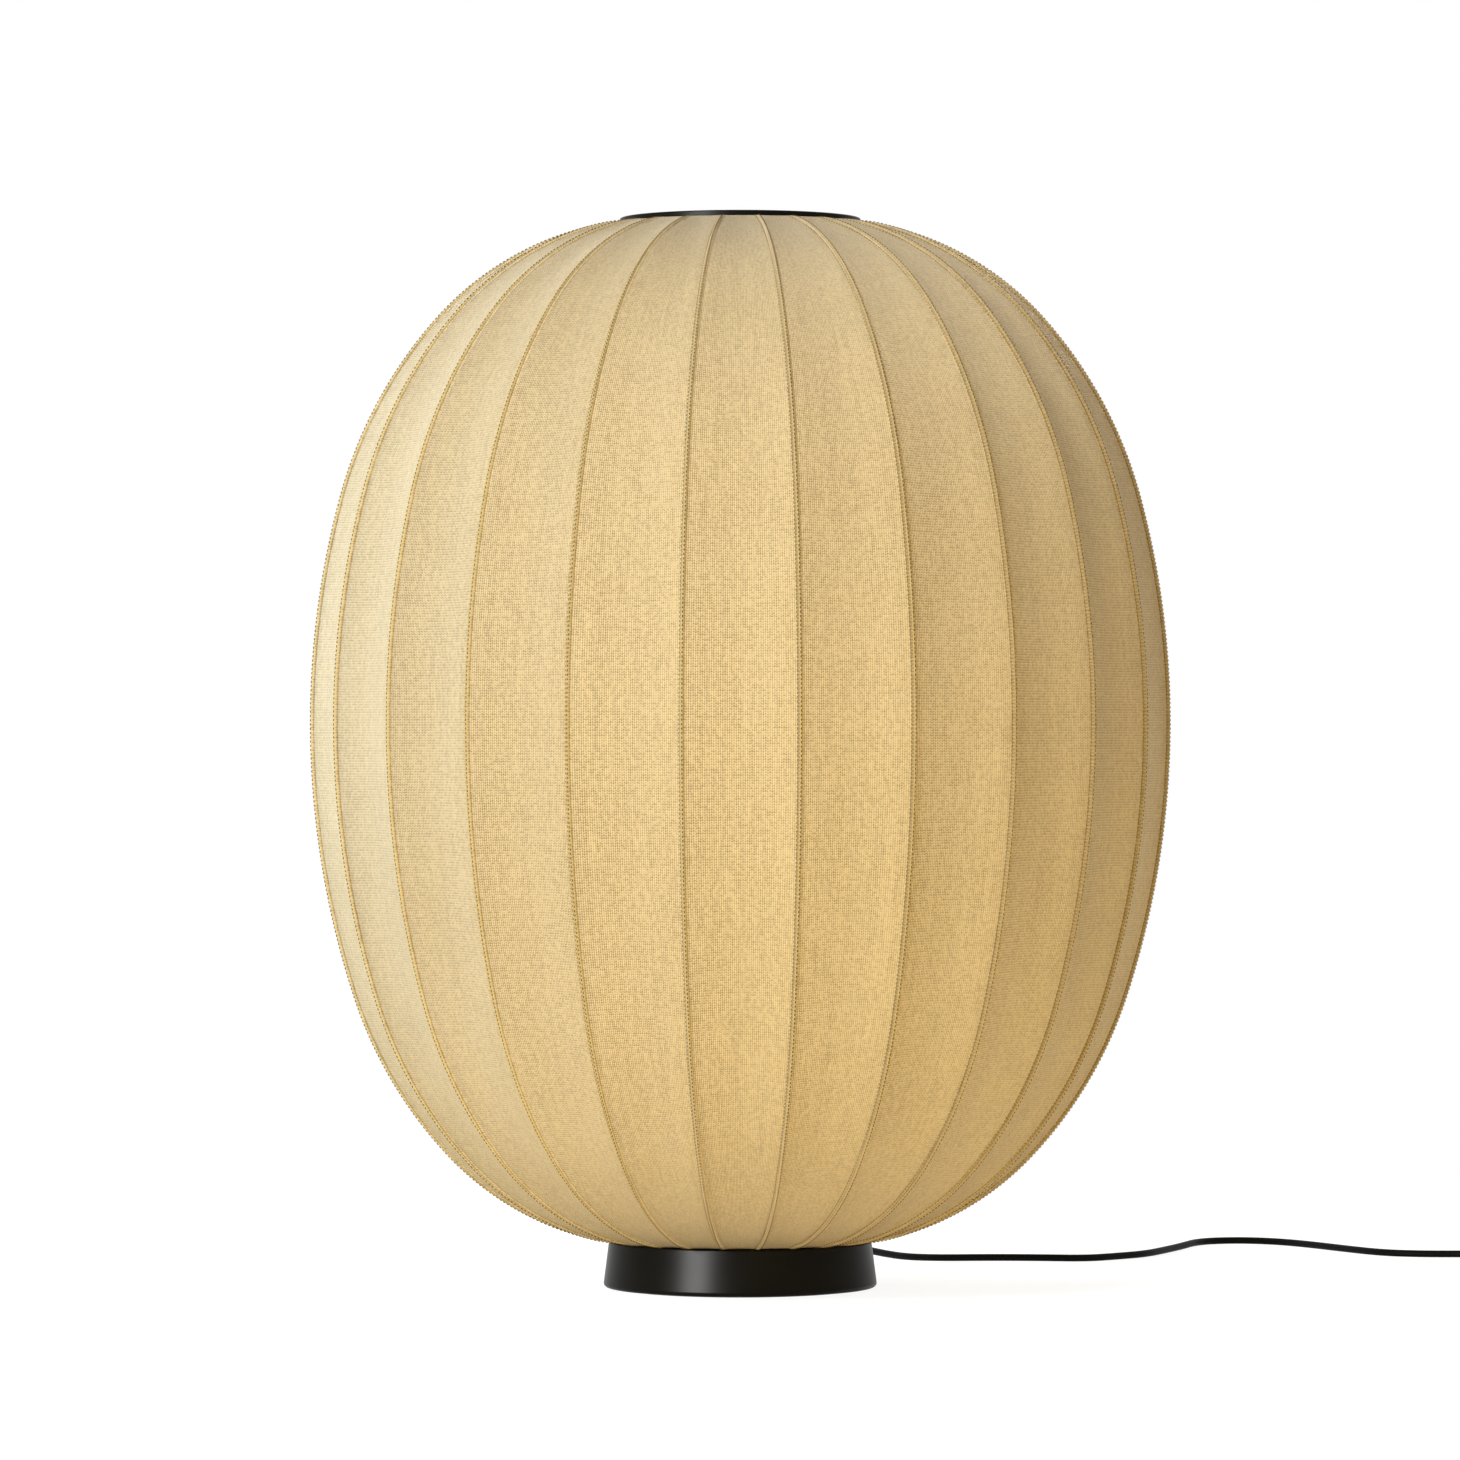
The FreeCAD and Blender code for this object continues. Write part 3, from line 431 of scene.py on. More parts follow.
@dataclass(frozen=True)
class Knit:
    """Fine knit in one yarn: columns of stitches between ribs, with a sewn line on each side of a rib; its
    colour also holds painted shade and a painted highlight.

    Attributes:
        name: Name of the material.
        yarn: Colour of the yarn's back, linear.
        yarn_gap_shade: Colour between the yarns, linear: painted shade in the knit's recesses.
        crest: Colour of the knit where it is doubled over a rib, linear: its yellower tint, made lighter than
            the knit around it as a painted highlight on the ridge.
        seam_thread_and_shade: Colour of the sewn lines and their stitch holes, linear: partly thread, partly
            painted shade in the holes and beside the rib.
        stitch_depth: Relief of a stitch in metres.
        leg_slant: Rise of a stitch's leg across its column, in courses.
        loop_share: Share of a stitch's relief that follows its loop.
        slub_share: Relief of a thick place in the yarn, as a share of a stitch's.
        streaks: Streaks to a column and to a course, and the layer of noise that they are read from.
        slubs: The same for thick places in the yarn.
        mottles: Soft blotches to a metre.
        shades: Lightness from relief (painted shade between the yarns), streaks, slubs, single stitches,
            blotches and the place across a gore (painted shade, darker towards a gore's left rib).
        shade_base: Lightness without any of them.
        crest_edge: Half widths between which the crest's colour fades, in millimetres.
        crest_share: How much of the crest's colour shows.
        seam_at: Places of the sewn lines on a rib's left and right, in millimetres from it.
        seam_half: Half widths of those lines, in millimetres.
        seam_fade: Width of their soft edge, in millimetres.
        seam_pitch: Needle holes to a course.
        seam_shares: How dark the sewn lines on a rib's left and right are.
        seam_widths: Widths of a gore between which those lines and the crest's colour grow, in millimetres.
        seam_least: How much of them shows in the narrowest gores.
        hole_share: How far a sewn line's darkness swings about its mean, at and between stitch holes; the
            dark holes are painted shade.
        roughness: Roughness between the yarns.
        crest_gloss: How much smoother the yarn's back is.
        through: Share of the light that goes through.
    """

    name: str = "sand_knit"
    yarn: Colour = (0.90, 0.757, 0.50)
    yarn_gap_shade: Colour = (0.36, 0.24, 0.092)
    crest: Colour = (0.86, 0.68, 0.27)
    seam_thread_and_shade: Colour = (0.17, 0.088, 0.012)
    stitch_depth: float = 0.55 * MM
    leg_slant: float = 0.45
    loop_share: float = 0.7
    slub_share: float = 0.4
    streaks: Point = (0.6, 0.012, 0.0)
    slubs: Point = (2.3, 0.07, 7.0)
    mottles: float = 9.0
    shades: tuple[float, ...] = (1.05, 0.26, 0.28, 0.32, 0.12, 0.14)
    shade_base: float = -0.29
    crest_edge: tuple[float, float] = (1.5, 0.6)
    crest_share: float = 0.55
    seam_at: tuple[float, float] = (1.15, 1.9)
    seam_half: tuple[float, float] = (0.9, 1.0)
    seam_fade: float = 0.5
    seam_pitch: float = 0.75
    seam_shares: tuple[float, float] = (0.7, 0.12)
    seam_widths: tuple[float, float] = (35.0, 78.0)
    seam_least: float = 0.25
    hole_share: float = 0.2
    roughness: float = 0.66
    crest_gloss: float = 0.1
    through: float = 0.30

    def material(self) -> bpy.types.Material:
        """The finish as a material."""
        graph = MaterialGraph(self.name)
        wale, course = graph.chart(KnittedCover.STITCH_CHART)
        from_left, to_right = graph.chart(KnittedCover.RIB_CHART)
        leg = abs(wale.fraction() * 2.0 - 1.0)
        back = ((wale * 2.0).fraction() * math.pi).sine()
        loop = ((course + leg * self.leg_slant) * (2 * math.pi)).cosine() * 0.5 + 0.5
        relief = back * (loop * self.loop_share + (1 - self.loop_share))
        streak, slub = (
            graph.noise(graph.vector(wale * rate[0], course * rate[1], rate[2]), 1.0, detail)
            for rate, detail in ((self.streaks, 3.0), (self.slubs, 1.0))
        )
        stitch = graph.chance((wale * 2.0).whole(), course.whole())
        mottle = graph.noise(graph.place(), self.mottles, detail=3.0)
        width = from_left + to_right
        across = from_left / width
        # The last share lightens each gore from its left rib to its right: painted shade, as if each dipped
        # gore were lit from the left.
        parts = (relief, streak, slub, stitch, mottle, across)
        light = sum((part * share for part, share in zip(parts, self.shades)), self.shade_base)
        # The knit's colour falls towards hollow where the stitch relief is low: painted shade between the
        # yarns.
        cloth = graph.mix(light.eased(0.0, 1.0), self.yarn_gap_shade, self.yarn)
        nearest = from_left.least(to_right)
        stagger = (across + 0.5).whole() * 0.5
        beat = ((course * self.seam_pitch + stagger) * (2 * math.pi)).cosine()
        holes = beat * self.hole_share + (1 - self.hole_share)
        shown = width.eased(*self.seam_widths) * (1 - self.seam_least) + self.seam_least
        # Along each rib's crest the colour turns to crest: a yellower tint, made lighter than the knit as a
        # painted highlight.
        ribbed = graph.mix(nearest.eased(*self.crest_edge) * shown * self.crest_share, cloth, self.crest)
        # Dark sewn lines on each side of a rib, dotted by stitch holes: partly thread, partly painted shade
        # in the holes and beside the ridge.
        lines = [
            abs(from_rib - at).eased(half, half - self.seam_fade) * share
            for from_rib, at, half, share in zip(
                (to_right, from_left), self.seam_at, self.seam_half, self.seam_shares,
            )
        ]
        colour = graph.mix((lines[0] + lines[1]) * holes * shown, ribbed, self.seam_thread_and_shade)
        return graph.close({
            "Base Color": colour,
            "Roughness": self.roughness - relief * self.crest_gloss,
            "Specular IOR Level": 0.2,
            "Sheen Weight": 0.75,
            "Sheen Roughness": 0.4,
            "Sheen Tint": (1.0, 0.97, 0.90, 1.0),
            "Normal": graph.bump(relief + slub * self.slub_share, self.stitch_depth),
        }, self.through)


FINISHES: dict[str, Finish | Knit] = {
    "knit": Knit(),
    "rod": Finish("glass_fibre_rod", (0.66, 0.60, 0.46), 0.42, grains=900.0, turned=(1.0, 1.0, 0.05)),
    "ring_steel": Finish(
        "black_powder_coat", (0.022, 0.021, 0.020), 0.55, grain_depth=0.05 * MM, specular=0.35,
    ),
    "black_lacquer": Finish(
        "satin_black_lacquer", (0.0055, 0.0048, 0.0028), 0.34, tint_spread=0.2, gloss_spread=0.03,
        grains=700.0, grain_depth=0.003 * MM, specular=0.05,
    ),
    "stem_lacquer": Finish(
        "stem_black_lacquer", (0.014, 0.013, 0.012), 0.38, grain_depth=0.01 * MM, specular=0.4,
    ),
    "zinc": TurnedMetal("zinc_plate", (0.56, 0.57, 0.58), 0.34, grains=800.0, turned=(1.0, 1.0, 6.0)),
    "iron": CastIron(
        "cast_iron", (0.085, 0.083, 0.080), 0.72, blots=18.0, grain_depth=0.35 * MM, metallic=0.35,
    ),
    "felt": Finish(
        "foam_rubber", (0.016, 0.016, 0.016), 0.9, grains=600.0, grain_depth=0.3 * MM, specular=0.2,
    ),
    "bakelite": Finish("black_thermoset", (0.016, 0.014, 0.012), 0.4, grains=2200.0, grain_depth=0.012 * MM),
    "porcelain": Finish("porcelain", (0.82, 0.80, 0.75), 0.5, tint_spread=0.05, grains=1200.0),
    "brass": TurnedMetal("bright_brass", (0.78, 0.57, 0.22), 0.28, turned=(1.0, 1.0, 8.0)),
    "bulb_metal": TurnedMetal("spun_aluminium", (0.80, 0.80, 0.80), 0.3, turned=(1.0, 1.0, 10.0)),
    "opal_glass": Finish(
        "opal_glass", (0.86, 0.86, 0.83), 0.16, tint_spread=0.02, gloss_spread=0.03,
        grains=60.0, grain_depth=0.01 * MM, coat=0.4,
    ),
    "gland_rubber": Finish(
        "moulded_rubber", (0.014, 0.014, 0.013), 0.62, grains=1800.0, grain_depth=0.03 * MM,
    ),
    "cord_sheath": Finish(
        "black_cord_sheath", (0.003, 0.003, 0.003), 0.55, grains=1600.0, grain_depth=0.02 * MM, specular=0.06,
    ),
    "inner_sheath": Finish("white_inner_sheath", (0.74, 0.74, 0.71), 0.5),
    "tie_plastic": MouldedPlastic("black_strap", (0.008, 0.008, 0.008), 0.55, specular=0.2),
    "block_plastic": Finish("white_block_plastic", (0.78, 0.78, 0.74), 0.45, tint_spread=0.04),
    "plug_plastic": MouldedPlastic("black_plug_plastic", (0.007, 0.007, 0.007), 0.52),
    "pin_metal": TurnedMetal("nickel_plate", (0.72, 0.70, 0.66), 0.2, turned=(8.0, 1.0, 8.0)),
    "switch_plastic": MouldedPlastic("black_switch_plastic", (0.007, 0.007, 0.007), 0.5),
    "button_plastic": Finish(
        "polished_button_plastic", (0.010, 0.010, 0.010), 0.25, grain_depth=0.005 * MM, specular=0.35,
    ),
}


class Wardrobe:
    """Makes each finish once and hands it to every piece that wears it."""

    def __init__(self) -> None:
        """Start with nothing made."""
        self._made: dict[str, bpy.types.Material] = {}

    def material(self, slot: str) -> bpy.types.Material:
        """The material of a slot, made on first use."""
        if slot not in self._made:
            self._made[slot] = FINISHES[slot].material()
        return self._made[slot]

    def dress_piece(self, piece: bpy.types.Object, slot: str) -> None:
        """Give a new piece its only material.

        Args:
            piece: The piece.
            slot: The record's material slot.
        """
        piece.data.materials.append(self.material(slot))

    def dress_construction(self, frame: dict) -> None:
        """Give every node of the construction the finish of its slot.
        """
        for part in frame["record"]["subparts"]:
            node = frame["nodes"][part["node"]]
            node.material_slots[0].material = self.material(part["material_slot"])


# Mesh helpers


def mesh_piece(name: str, points: np.ndarray, faces: np.ndarray | Sequence) -> bpy.types.Object:
    """A smooth mesh object at the origin.

    Args:
        name: Name of the piece.
        points: Corner places in metres, one row each.
        faces: Corner numbers of each face.

    Returns:
        The new object.
    """
    mesh = bpy.data.meshes.new(name)
    mesh.from_pydata([tuple(p) for p in points], [], [tuple(int(i) for i in f) for f in faces])
    mesh.polygons.foreach_set("use_smooth", [True] * len(mesh.polygons))
    mesh.update()
    piece = bpy.data.objects.new(name, mesh)
    bpy.context.scene.collection.objects.link(piece)
    return piece


def smooth_step(value: np.ndarray) -> np.ndarray:
    """Ease from 0 to 1 as a number goes from 0 to 1."""
    held = np.clip(value, 0.0, 1.0)
    return held * held * (3.0 - 2.0 * held)


def plateau(distance: np.ndarray, flat: float, half: float) -> np.ndarray:
    """1 out to a distance of flat, then down to 0 at a distance of half."""
    return smooth_step((half - np.abs(distance)) / (half - flat))


def hump(distance: np.ndarray, half: float) -> np.ndarray:
    """A cosine hump of height 1 that ends at a distance of half."""
    return np.where(np.abs(distance) < half, 0.5 + 0.5 * np.cos(np.pi * distance / half), 0.0)


# Shade


@dataclass(frozen=True)
class Bend:
    """One arc of the shade's outline, from the belly outwards.

    Attributes:
        radius: Radius of the arc.
        start: Lean from the upright where it starts, in radians.
        end: Lean where it ends.
    """

    radius: float
    start: float
    end: float


@dataclass
class KnittedCover:
    """The knit stretched over the ribs, from the black ring down to the foot.

    Attributes:
        belly: Largest radius, over the ribs.
        top_hem: Radius of the upper hem.
        bottom_hem: Radius of the lower hem.
        upper_bends: Radii of the mid, shoulder and lip bends above the belly.
        upper_leans: Leans between those bends, in degrees.
        lower_bends: The same radii below the belly.
        lower_leans: The same leans below the belly.
        gores: Number of gores.
        front_gore: Azimuth of the first gore's middle, in degrees.
        wall: Thickness of the knit.
        flap: Width of the level flap that each ring holds.
        sag: How far a gore hollows, as a share of its width.
        ridge_height: How far the knit stands up over a rib.
        ridge_flat: Half width of that ridge's crest.
        ridge_half: Half width of the ridge at its foot.
        ridge_ease: How much wider the ridge is on the inner face, over the rod.
        groove_depth: Depth of the sewn groove beside the ridge.
        groove_at: Distance of the groove from the rib.
        groove_half: Half width of the groove.
        hem_ease: Length over which hollows and ridges die out towards a hem.
        wales: Columns of stitches in a gore.
        course: Height of a row of stitches.
        row_gap: Spacing of the mesh's rows where the outline is nearly straight.
        lip_gap: Spacing of the rows at the lips.
        inner_thinning: How many times wider the rows are spaced on the inside.
        rib_columns: Distances from a rib of the mesh's columns beside it, in millimetres.
        hollow_columns: Columns from the last of those on one side to the last on the other, with both.
        stitch_pitch: Spacing of the sewn stitches.
        stitch_start: Distance of the first stitch from the flap.
        stitch_at: Distances of the sewn stitches from a rib, on its left and right.
        stitch_size: Half length, half width and half height of a sewn stitch.
        stitch_stand: Height of a stitch's middle over the knit, in half heights.
        thread_tints_lit_and_shaded: Colours of the thread on a rib's left and right, linear; it is one
            thread, and the right one is darker as painted shade.
    """

    STITCH_CHART = "stitches"
    RIB_CHART = "ribs"

    belly: float = 325.0 * MM
    top_hem: float = 91.0 * MM
    bottom_hem: float = 88.3 * MM
    upper_bends: Point = (652.0 * MM, 334.0 * MM, 100.0 * MM)
    upper_leans: Point = (15.0, 41.4, 75.8)
    lower_bends: Point = (665.0 * MM, 321.0 * MM, 130.0 * MM)
    lower_leans: Point = (18.0, 43.8, 72.0)
    gores: int = 24
    front_gore: float = -90.0
    wall: float = 1.2 * MM
    flap: float = 8.0 * MM
    sag: float = 0.055
    ridge_height: float = 1.8 * MM
    ridge_flat: float = 0.5 * MM
    ridge_half: float = 1.7 * MM
    ridge_ease: float = 0.5 * MM
    groove_depth: float = 0.45 * MM
    groove_at: float = 2.3 * MM
    groove_half: float = 0.9 * MM
    hem_ease: float = 28.0 * MM
    wales: int = 26
    course: float = 1.9 * MM
    row_gap: float = 8.0 * MM
    lip_gap: float = 4.0 * MM
    inner_thinning: float = 3.5
    rib_columns: tuple[float, ...] = (0.0, 0.5, 0.8, 1.1, 1.4, 1.7, 2.3, 2.7, 3.3)
    hollow_columns: int = 7
    stitch_pitch: float = 3.2 * MM
    stitch_start: float = 6.0 * MM
    stitch_at: tuple[float, float] = (1.9 * MM, 0.5 * MM)
    stitch_size: Point = (1.05 * MM, 0.45 * MM, 0.42 * MM)
    stitch_stand: float = 0.6
    thread_tints_lit_and_shaded: tuple[Colour, Colour] = ((0.32, 0.20, 0.055), (0.12, 0.062, 0.010))

    def __post_init__(self) -> None:
        """Work out the outline over a rib, from the lower flap to the upper one."""
        self.half_gore = math.pi / self.gores
        low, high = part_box("knitted_cover")
        below = self._bends(self.lower_bends, self.lower_leans, self.bottom_hem)
        above = self._bends(self.upper_bends, self.upper_leans, self.top_hem)
        self.hem_z = low.z
        self.crown_z = high.z
        self._trace(below, above)

    def _bends(self, radii: Point, leans: Point, hem: float) -> list[Bend]:
        """Arcs from the belly to a hem; the crown's radius closes the line.

        Args:
            radii: Radii of the mid, shoulder and lip bends.
            leans: Leans between the bends in degrees.
            hem: Radius of the hem.

        Returns:
            The mid, shoulder, crown and lip bends.
        """
        mid, shoulder, lip = radii
        first, second, third = (math.radians(a) for a in leans)
        reach = self.belly - mid * (1 - math.cos(first)) - shoulder * (math.cos(first) - math.cos(second))
        crown = (reach - hem - lip * math.cos(third)) / (math.cos(second) - math.cos(third))
        return [
            Bend(mid, 0.0, first),
            Bend(shoulder, first, second),
            Bend(crown, second, third),
            Bend(lip, third, math.pi / 2),
        ]

    def _trace(self, below: list[Bend], above: list[Bend]) -> None:
        """Lay the outline's places, leans and lengths out along one line.

        Args:
            below: Bends from the belly down.
            above: Bends from the belly up.
        """
        samples = 60
        belly_z = self.hem_z + sum(b.radius * (math.sin(b.end) - math.sin(b.start)) for b in below)
        line: list[Point] = []
        for sign, bends in ((-1, below), (1, above)):
            run: list[Point] = []
            r, z = self.belly, belly_z
            for bend in bends:
                centre_r = r - bend.radius * math.cos(bend.start)
                centre_z = z - sign * bend.radius * math.sin(bend.start)
                for lean in np.linspace(bend.start, bend.end, samples, endpoint=False):
                    out = bend.radius * math.cos(lean)
                    up = sign * bend.radius * math.sin(lean)
                    run.append((centre_r + out, centre_z + up, sign * lean))
                r = centre_r + bend.radius * math.cos(bend.end)
                z = centre_z + sign * bend.radius * math.sin(bend.end)
            run.append((r, z, sign * math.pi / 2))
            run.append((r - self.flap, z, sign * math.pi / 2))
            line += run[::-1] if sign < 0 else run[1:]
        self.line_r, self.line_z, self.line_lean = np.array(line).T.copy()
        steps = np.hypot(np.diff(self.line_r), np.diff(self.line_z))
        self.line_s = np.concatenate([[0.0], np.cumsum(steps)])
        self.length = float(self.line_s[-1])

    def _rows(self, widen: float) -> np.ndarray:
        """Lengths along the outline at which the mesh has rows, closer where it bends more.

        Args:
            widen: Factor on every gap.

        Returns:
            The lengths, with both ends.
        """
        turn = np.abs(self.line_lean) / (math.pi / 2)
        gap = widen * (self.row_gap + (self.lip_gap - self.row_gap) * turn ** 2)
        count = np.concatenate([[0.0], np.cumsum(np.diff(self.line_s) / gap[1:])])
        return np.interp(np.linspace(0.0, count[-1], int(round(count[-1])) + 1), count, self.line_s)

    def width(self, along: np.ndarray) -> np.ndarray:
        """Width of a gore from rib to rib at lengths along the outline."""
        return 2 * np.interp(along, self.line_s, self.line_r) * math.sin(self.half_gore)

    def surface(
        self, along: np.ndarray, gore: np.ndarray, across: np.ndarray, inside: bool = False,
    ) -> tuple[np.ndarray, np.ndarray]:
        """Places on the cover and the way out from it.

        Args:
            along: Length along the outline from the lower flap's edge.
            gore: Number of the gore.
            across: Distance from the gore's left rib.
            inside: Whether the place is on the inner face.

        Returns:
            Places and unit vectors, one row each.
        """
        radius = np.interp(along, self.line_s, self.line_r)
        height = np.interp(along, self.line_s, self.line_z)
        lean = np.interp(along, self.line_s, self.line_lean)
        width = 2 * radius * math.sin(self.half_gore)
        middle = np.radians(self.front_gore) + 2 * self.half_gore * gore
        out = radius * math.cos(self.half_gore)
        side = across - width / 2
        x = out * np.cos(middle) - side * np.sin(middle)
        y = out * np.sin(middle) + side * np.cos(middle)
        azimuth = np.arctan2(y, x)
        level = np.cos(lean)
        way = np.stack([level * np.cos(azimuth), level * np.sin(azimuth), np.sin(lean)], axis=-1)
        from_end = np.minimum(along, self.length - along) - self.flap
        held = smooth_step(from_end / self.hem_ease)
        share = side / (width / 2)
        ease = self.ridge_ease if inside else 0.0
        edges = (self.ridge_flat + ease, self.ridge_half + ease)
        ridge = plateau(across, *edges) + plateau(across - width, *edges)
        lift = -self.sag * width * (1 - share ** 2) - self.ridge_height * (1 - ridge)
        if inside:
            lift = lift * held - self.wall
        else:
            groove = hump(across - self.groove_at, self.groove_half)
            groove = groove + hump(across - width + self.groove_at, self.groove_half)
            lift = (lift - groove * self.groove_depth) * held
        return np.stack([x, y, height], axis=-1) + way * lift[..., None], way

    def _columns(self, width: float) -> np.ndarray:
        """Places of a row's columns across one gore, closer beside the ribs.

        Args:
            width: Width of the gore.

        Returns:
            Distances from the left rib, without the right rib.
        """
        after = np.array(self.rib_columns) * MM
        before = after[:0:-1]
        between = np.linspace(after[-1], width - before[0], self.hollow_columns)[1:-1]
        return np.concatenate([after, between, width - before])

    def build(self) -> bpy.types.Object:
        """Model the cover as one closed skin, outside and inside, and lay its two charts over it.

        One chart counts columns and courses of stitches, the other holds the distances in millimetres
        from the left rib and to the right one.

        Returns:
            The cover.
        """
        outer = self._rows(1.0)
        along = np.concatenate([outer, self._rows(self.inner_thinning)[::-1]])
        edges = np.array([[*self._columns(width), width] for width in self.width(along)])
        per_gore = edges.shape[1] - 1
        columns = per_gore * self.gores
        row, column = np.meshgrid(np.arange(len(along)), np.arange(columns), indexing="ij")
        gore, local = np.divmod(column, per_gore)
        places = []
        for inside, rows in ((False, slice(0, len(outer))), (True, slice(len(outer), None))):
            spot, _ = self.surface(along[row[rows]], gore[rows], edges[row[rows], local[rows]], inside)
            places.append(spot.reshape(-1, 3))
        after = (row + 1) % len(along)
        beside = (column + 1) % columns
        corners = ((row, column), (row, beside), (after, beside), (after, column))
        faces = np.stack([r * columns + c for r, c in corners], axis=-1).reshape(-1, 4)
        cover = mesh_piece("knitted_skin", np.concatenate(places), faces)
        charts = {self.STITCH_CHART: [], self.RIB_CHART: []}
        for r, c in ((row, local), (row, local + 1), (after, local + 1), (after, local)):
            from_left = edges[r, c]
            width = edges[r, -1]
            wale = (gore + from_left / width) * self.wales
            charts[self.STITCH_CHART].append((wale, along[r] / self.course))
            charts[self.RIB_CHART].append((from_left / MM, width / MM - from_left / MM))
        for name, numbers in charts.items():
            layer = cover.data.uv_layers.new(name=name)
            uv = np.array(numbers, dtype=np.float32).transpose(2, 3, 0, 1)
            layer.data.foreach_set("uv", uv.ravel())
        return cover

    def sew(self, name: str, on_right: bool) -> bpy.types.Object:
        """Model the thread on one side of the ribs: a small stitch, set out along every rib.

        Args:
            name: Name of the piece.
            on_right: Whether the stitches are on the ribs' right.

        Returns:
            The stitches of all the ribs, as one piece.
        """
        bpy.ops.object.select_all(action="DESELECT")
        bpy.ops.mesh.primitive_uv_sphere_add(segments=4, ring_count=3, radius=1.0)
        pattern = bpy.context.object
        bead = np.array([v.co for v in pattern.data.vertices])
        bead_faces = [list(p.vertices) for p in pattern.data.polygons]
        bpy.data.objects.remove(pattern)
        first = self.flap + self.stitch_start
        count = int((self.length - 2 * first) / self.stitch_pitch)
        along = np.tile(first + (np.arange(count) + 0.5) * self.stitch_pitch, self.gores)
        gore = np.repeat(np.arange(self.gores), count)
        across = self._seam(along, on_right)
        spot, out = self.surface(along, gore, across)
        small_step = 0.5 * MM
        further = along + small_step
        onward, _ = self.surface(further, gore, self._seam(further, on_right))
        ahead = onward - spot
        ahead = ahead / np.linalg.norm(ahead, axis=1, keepdims=True)
        aside = np.cross(ahead, out)
        half_long, half_wide, half_high = self.stitch_size
        points = (
            spot[:, None]
            + bead[None, :, 2, None] * half_long * ahead[:, None]
            + bead[None, :, 0, None] * half_wide * aside[:, None]
            + (bead[None, :, 1, None] + self.stitch_stand) * half_high * out[:, None]
        ).reshape(-1, 3)
        faces = [[i + len(bead) * k for i in face] for k in range(len(along)) for face in bead_faces]
        return mesh_piece(name, points, faces)

    def _seam(self, along: np.ndarray, on_right: bool) -> np.ndarray:
        """Distance from a gore's left rib to one of its sewn lines."""
        left, right = self.stitch_at
        return np.full(len(along), right) if on_right else self.width(along) - left

    def make(self, wardrobe: Wardrobe) -> list[bpy.types.Object]:
        """Build and dress the cover and its thread.

        Args:
            wardrobe: Where the finishes come from.

        Returns:
            The new pieces.
        """
        cover = self.build()
        threads = [self.sew("stitches_right", True), self.sew("stitches_left", False)]
        wardrobe.dress_piece(cover, "knit")
        # The thread on a rib's right gets the darker tint: painted shade on the side away from the light.
        for thread, tint in zip(threads, reversed(self.thread_tints_lit_and_shaded)):
            yarn = Finish(f"{thread.name}_yarn", tint, roughness=0.8, specular=0.2)
            thread.data.materials.append(yarn.material())
        for piece in (cover, *threads):
            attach(piece, Body.SHADE.value)
        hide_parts("knitted_cover")
        return [cover, *threads]


# Mains lead


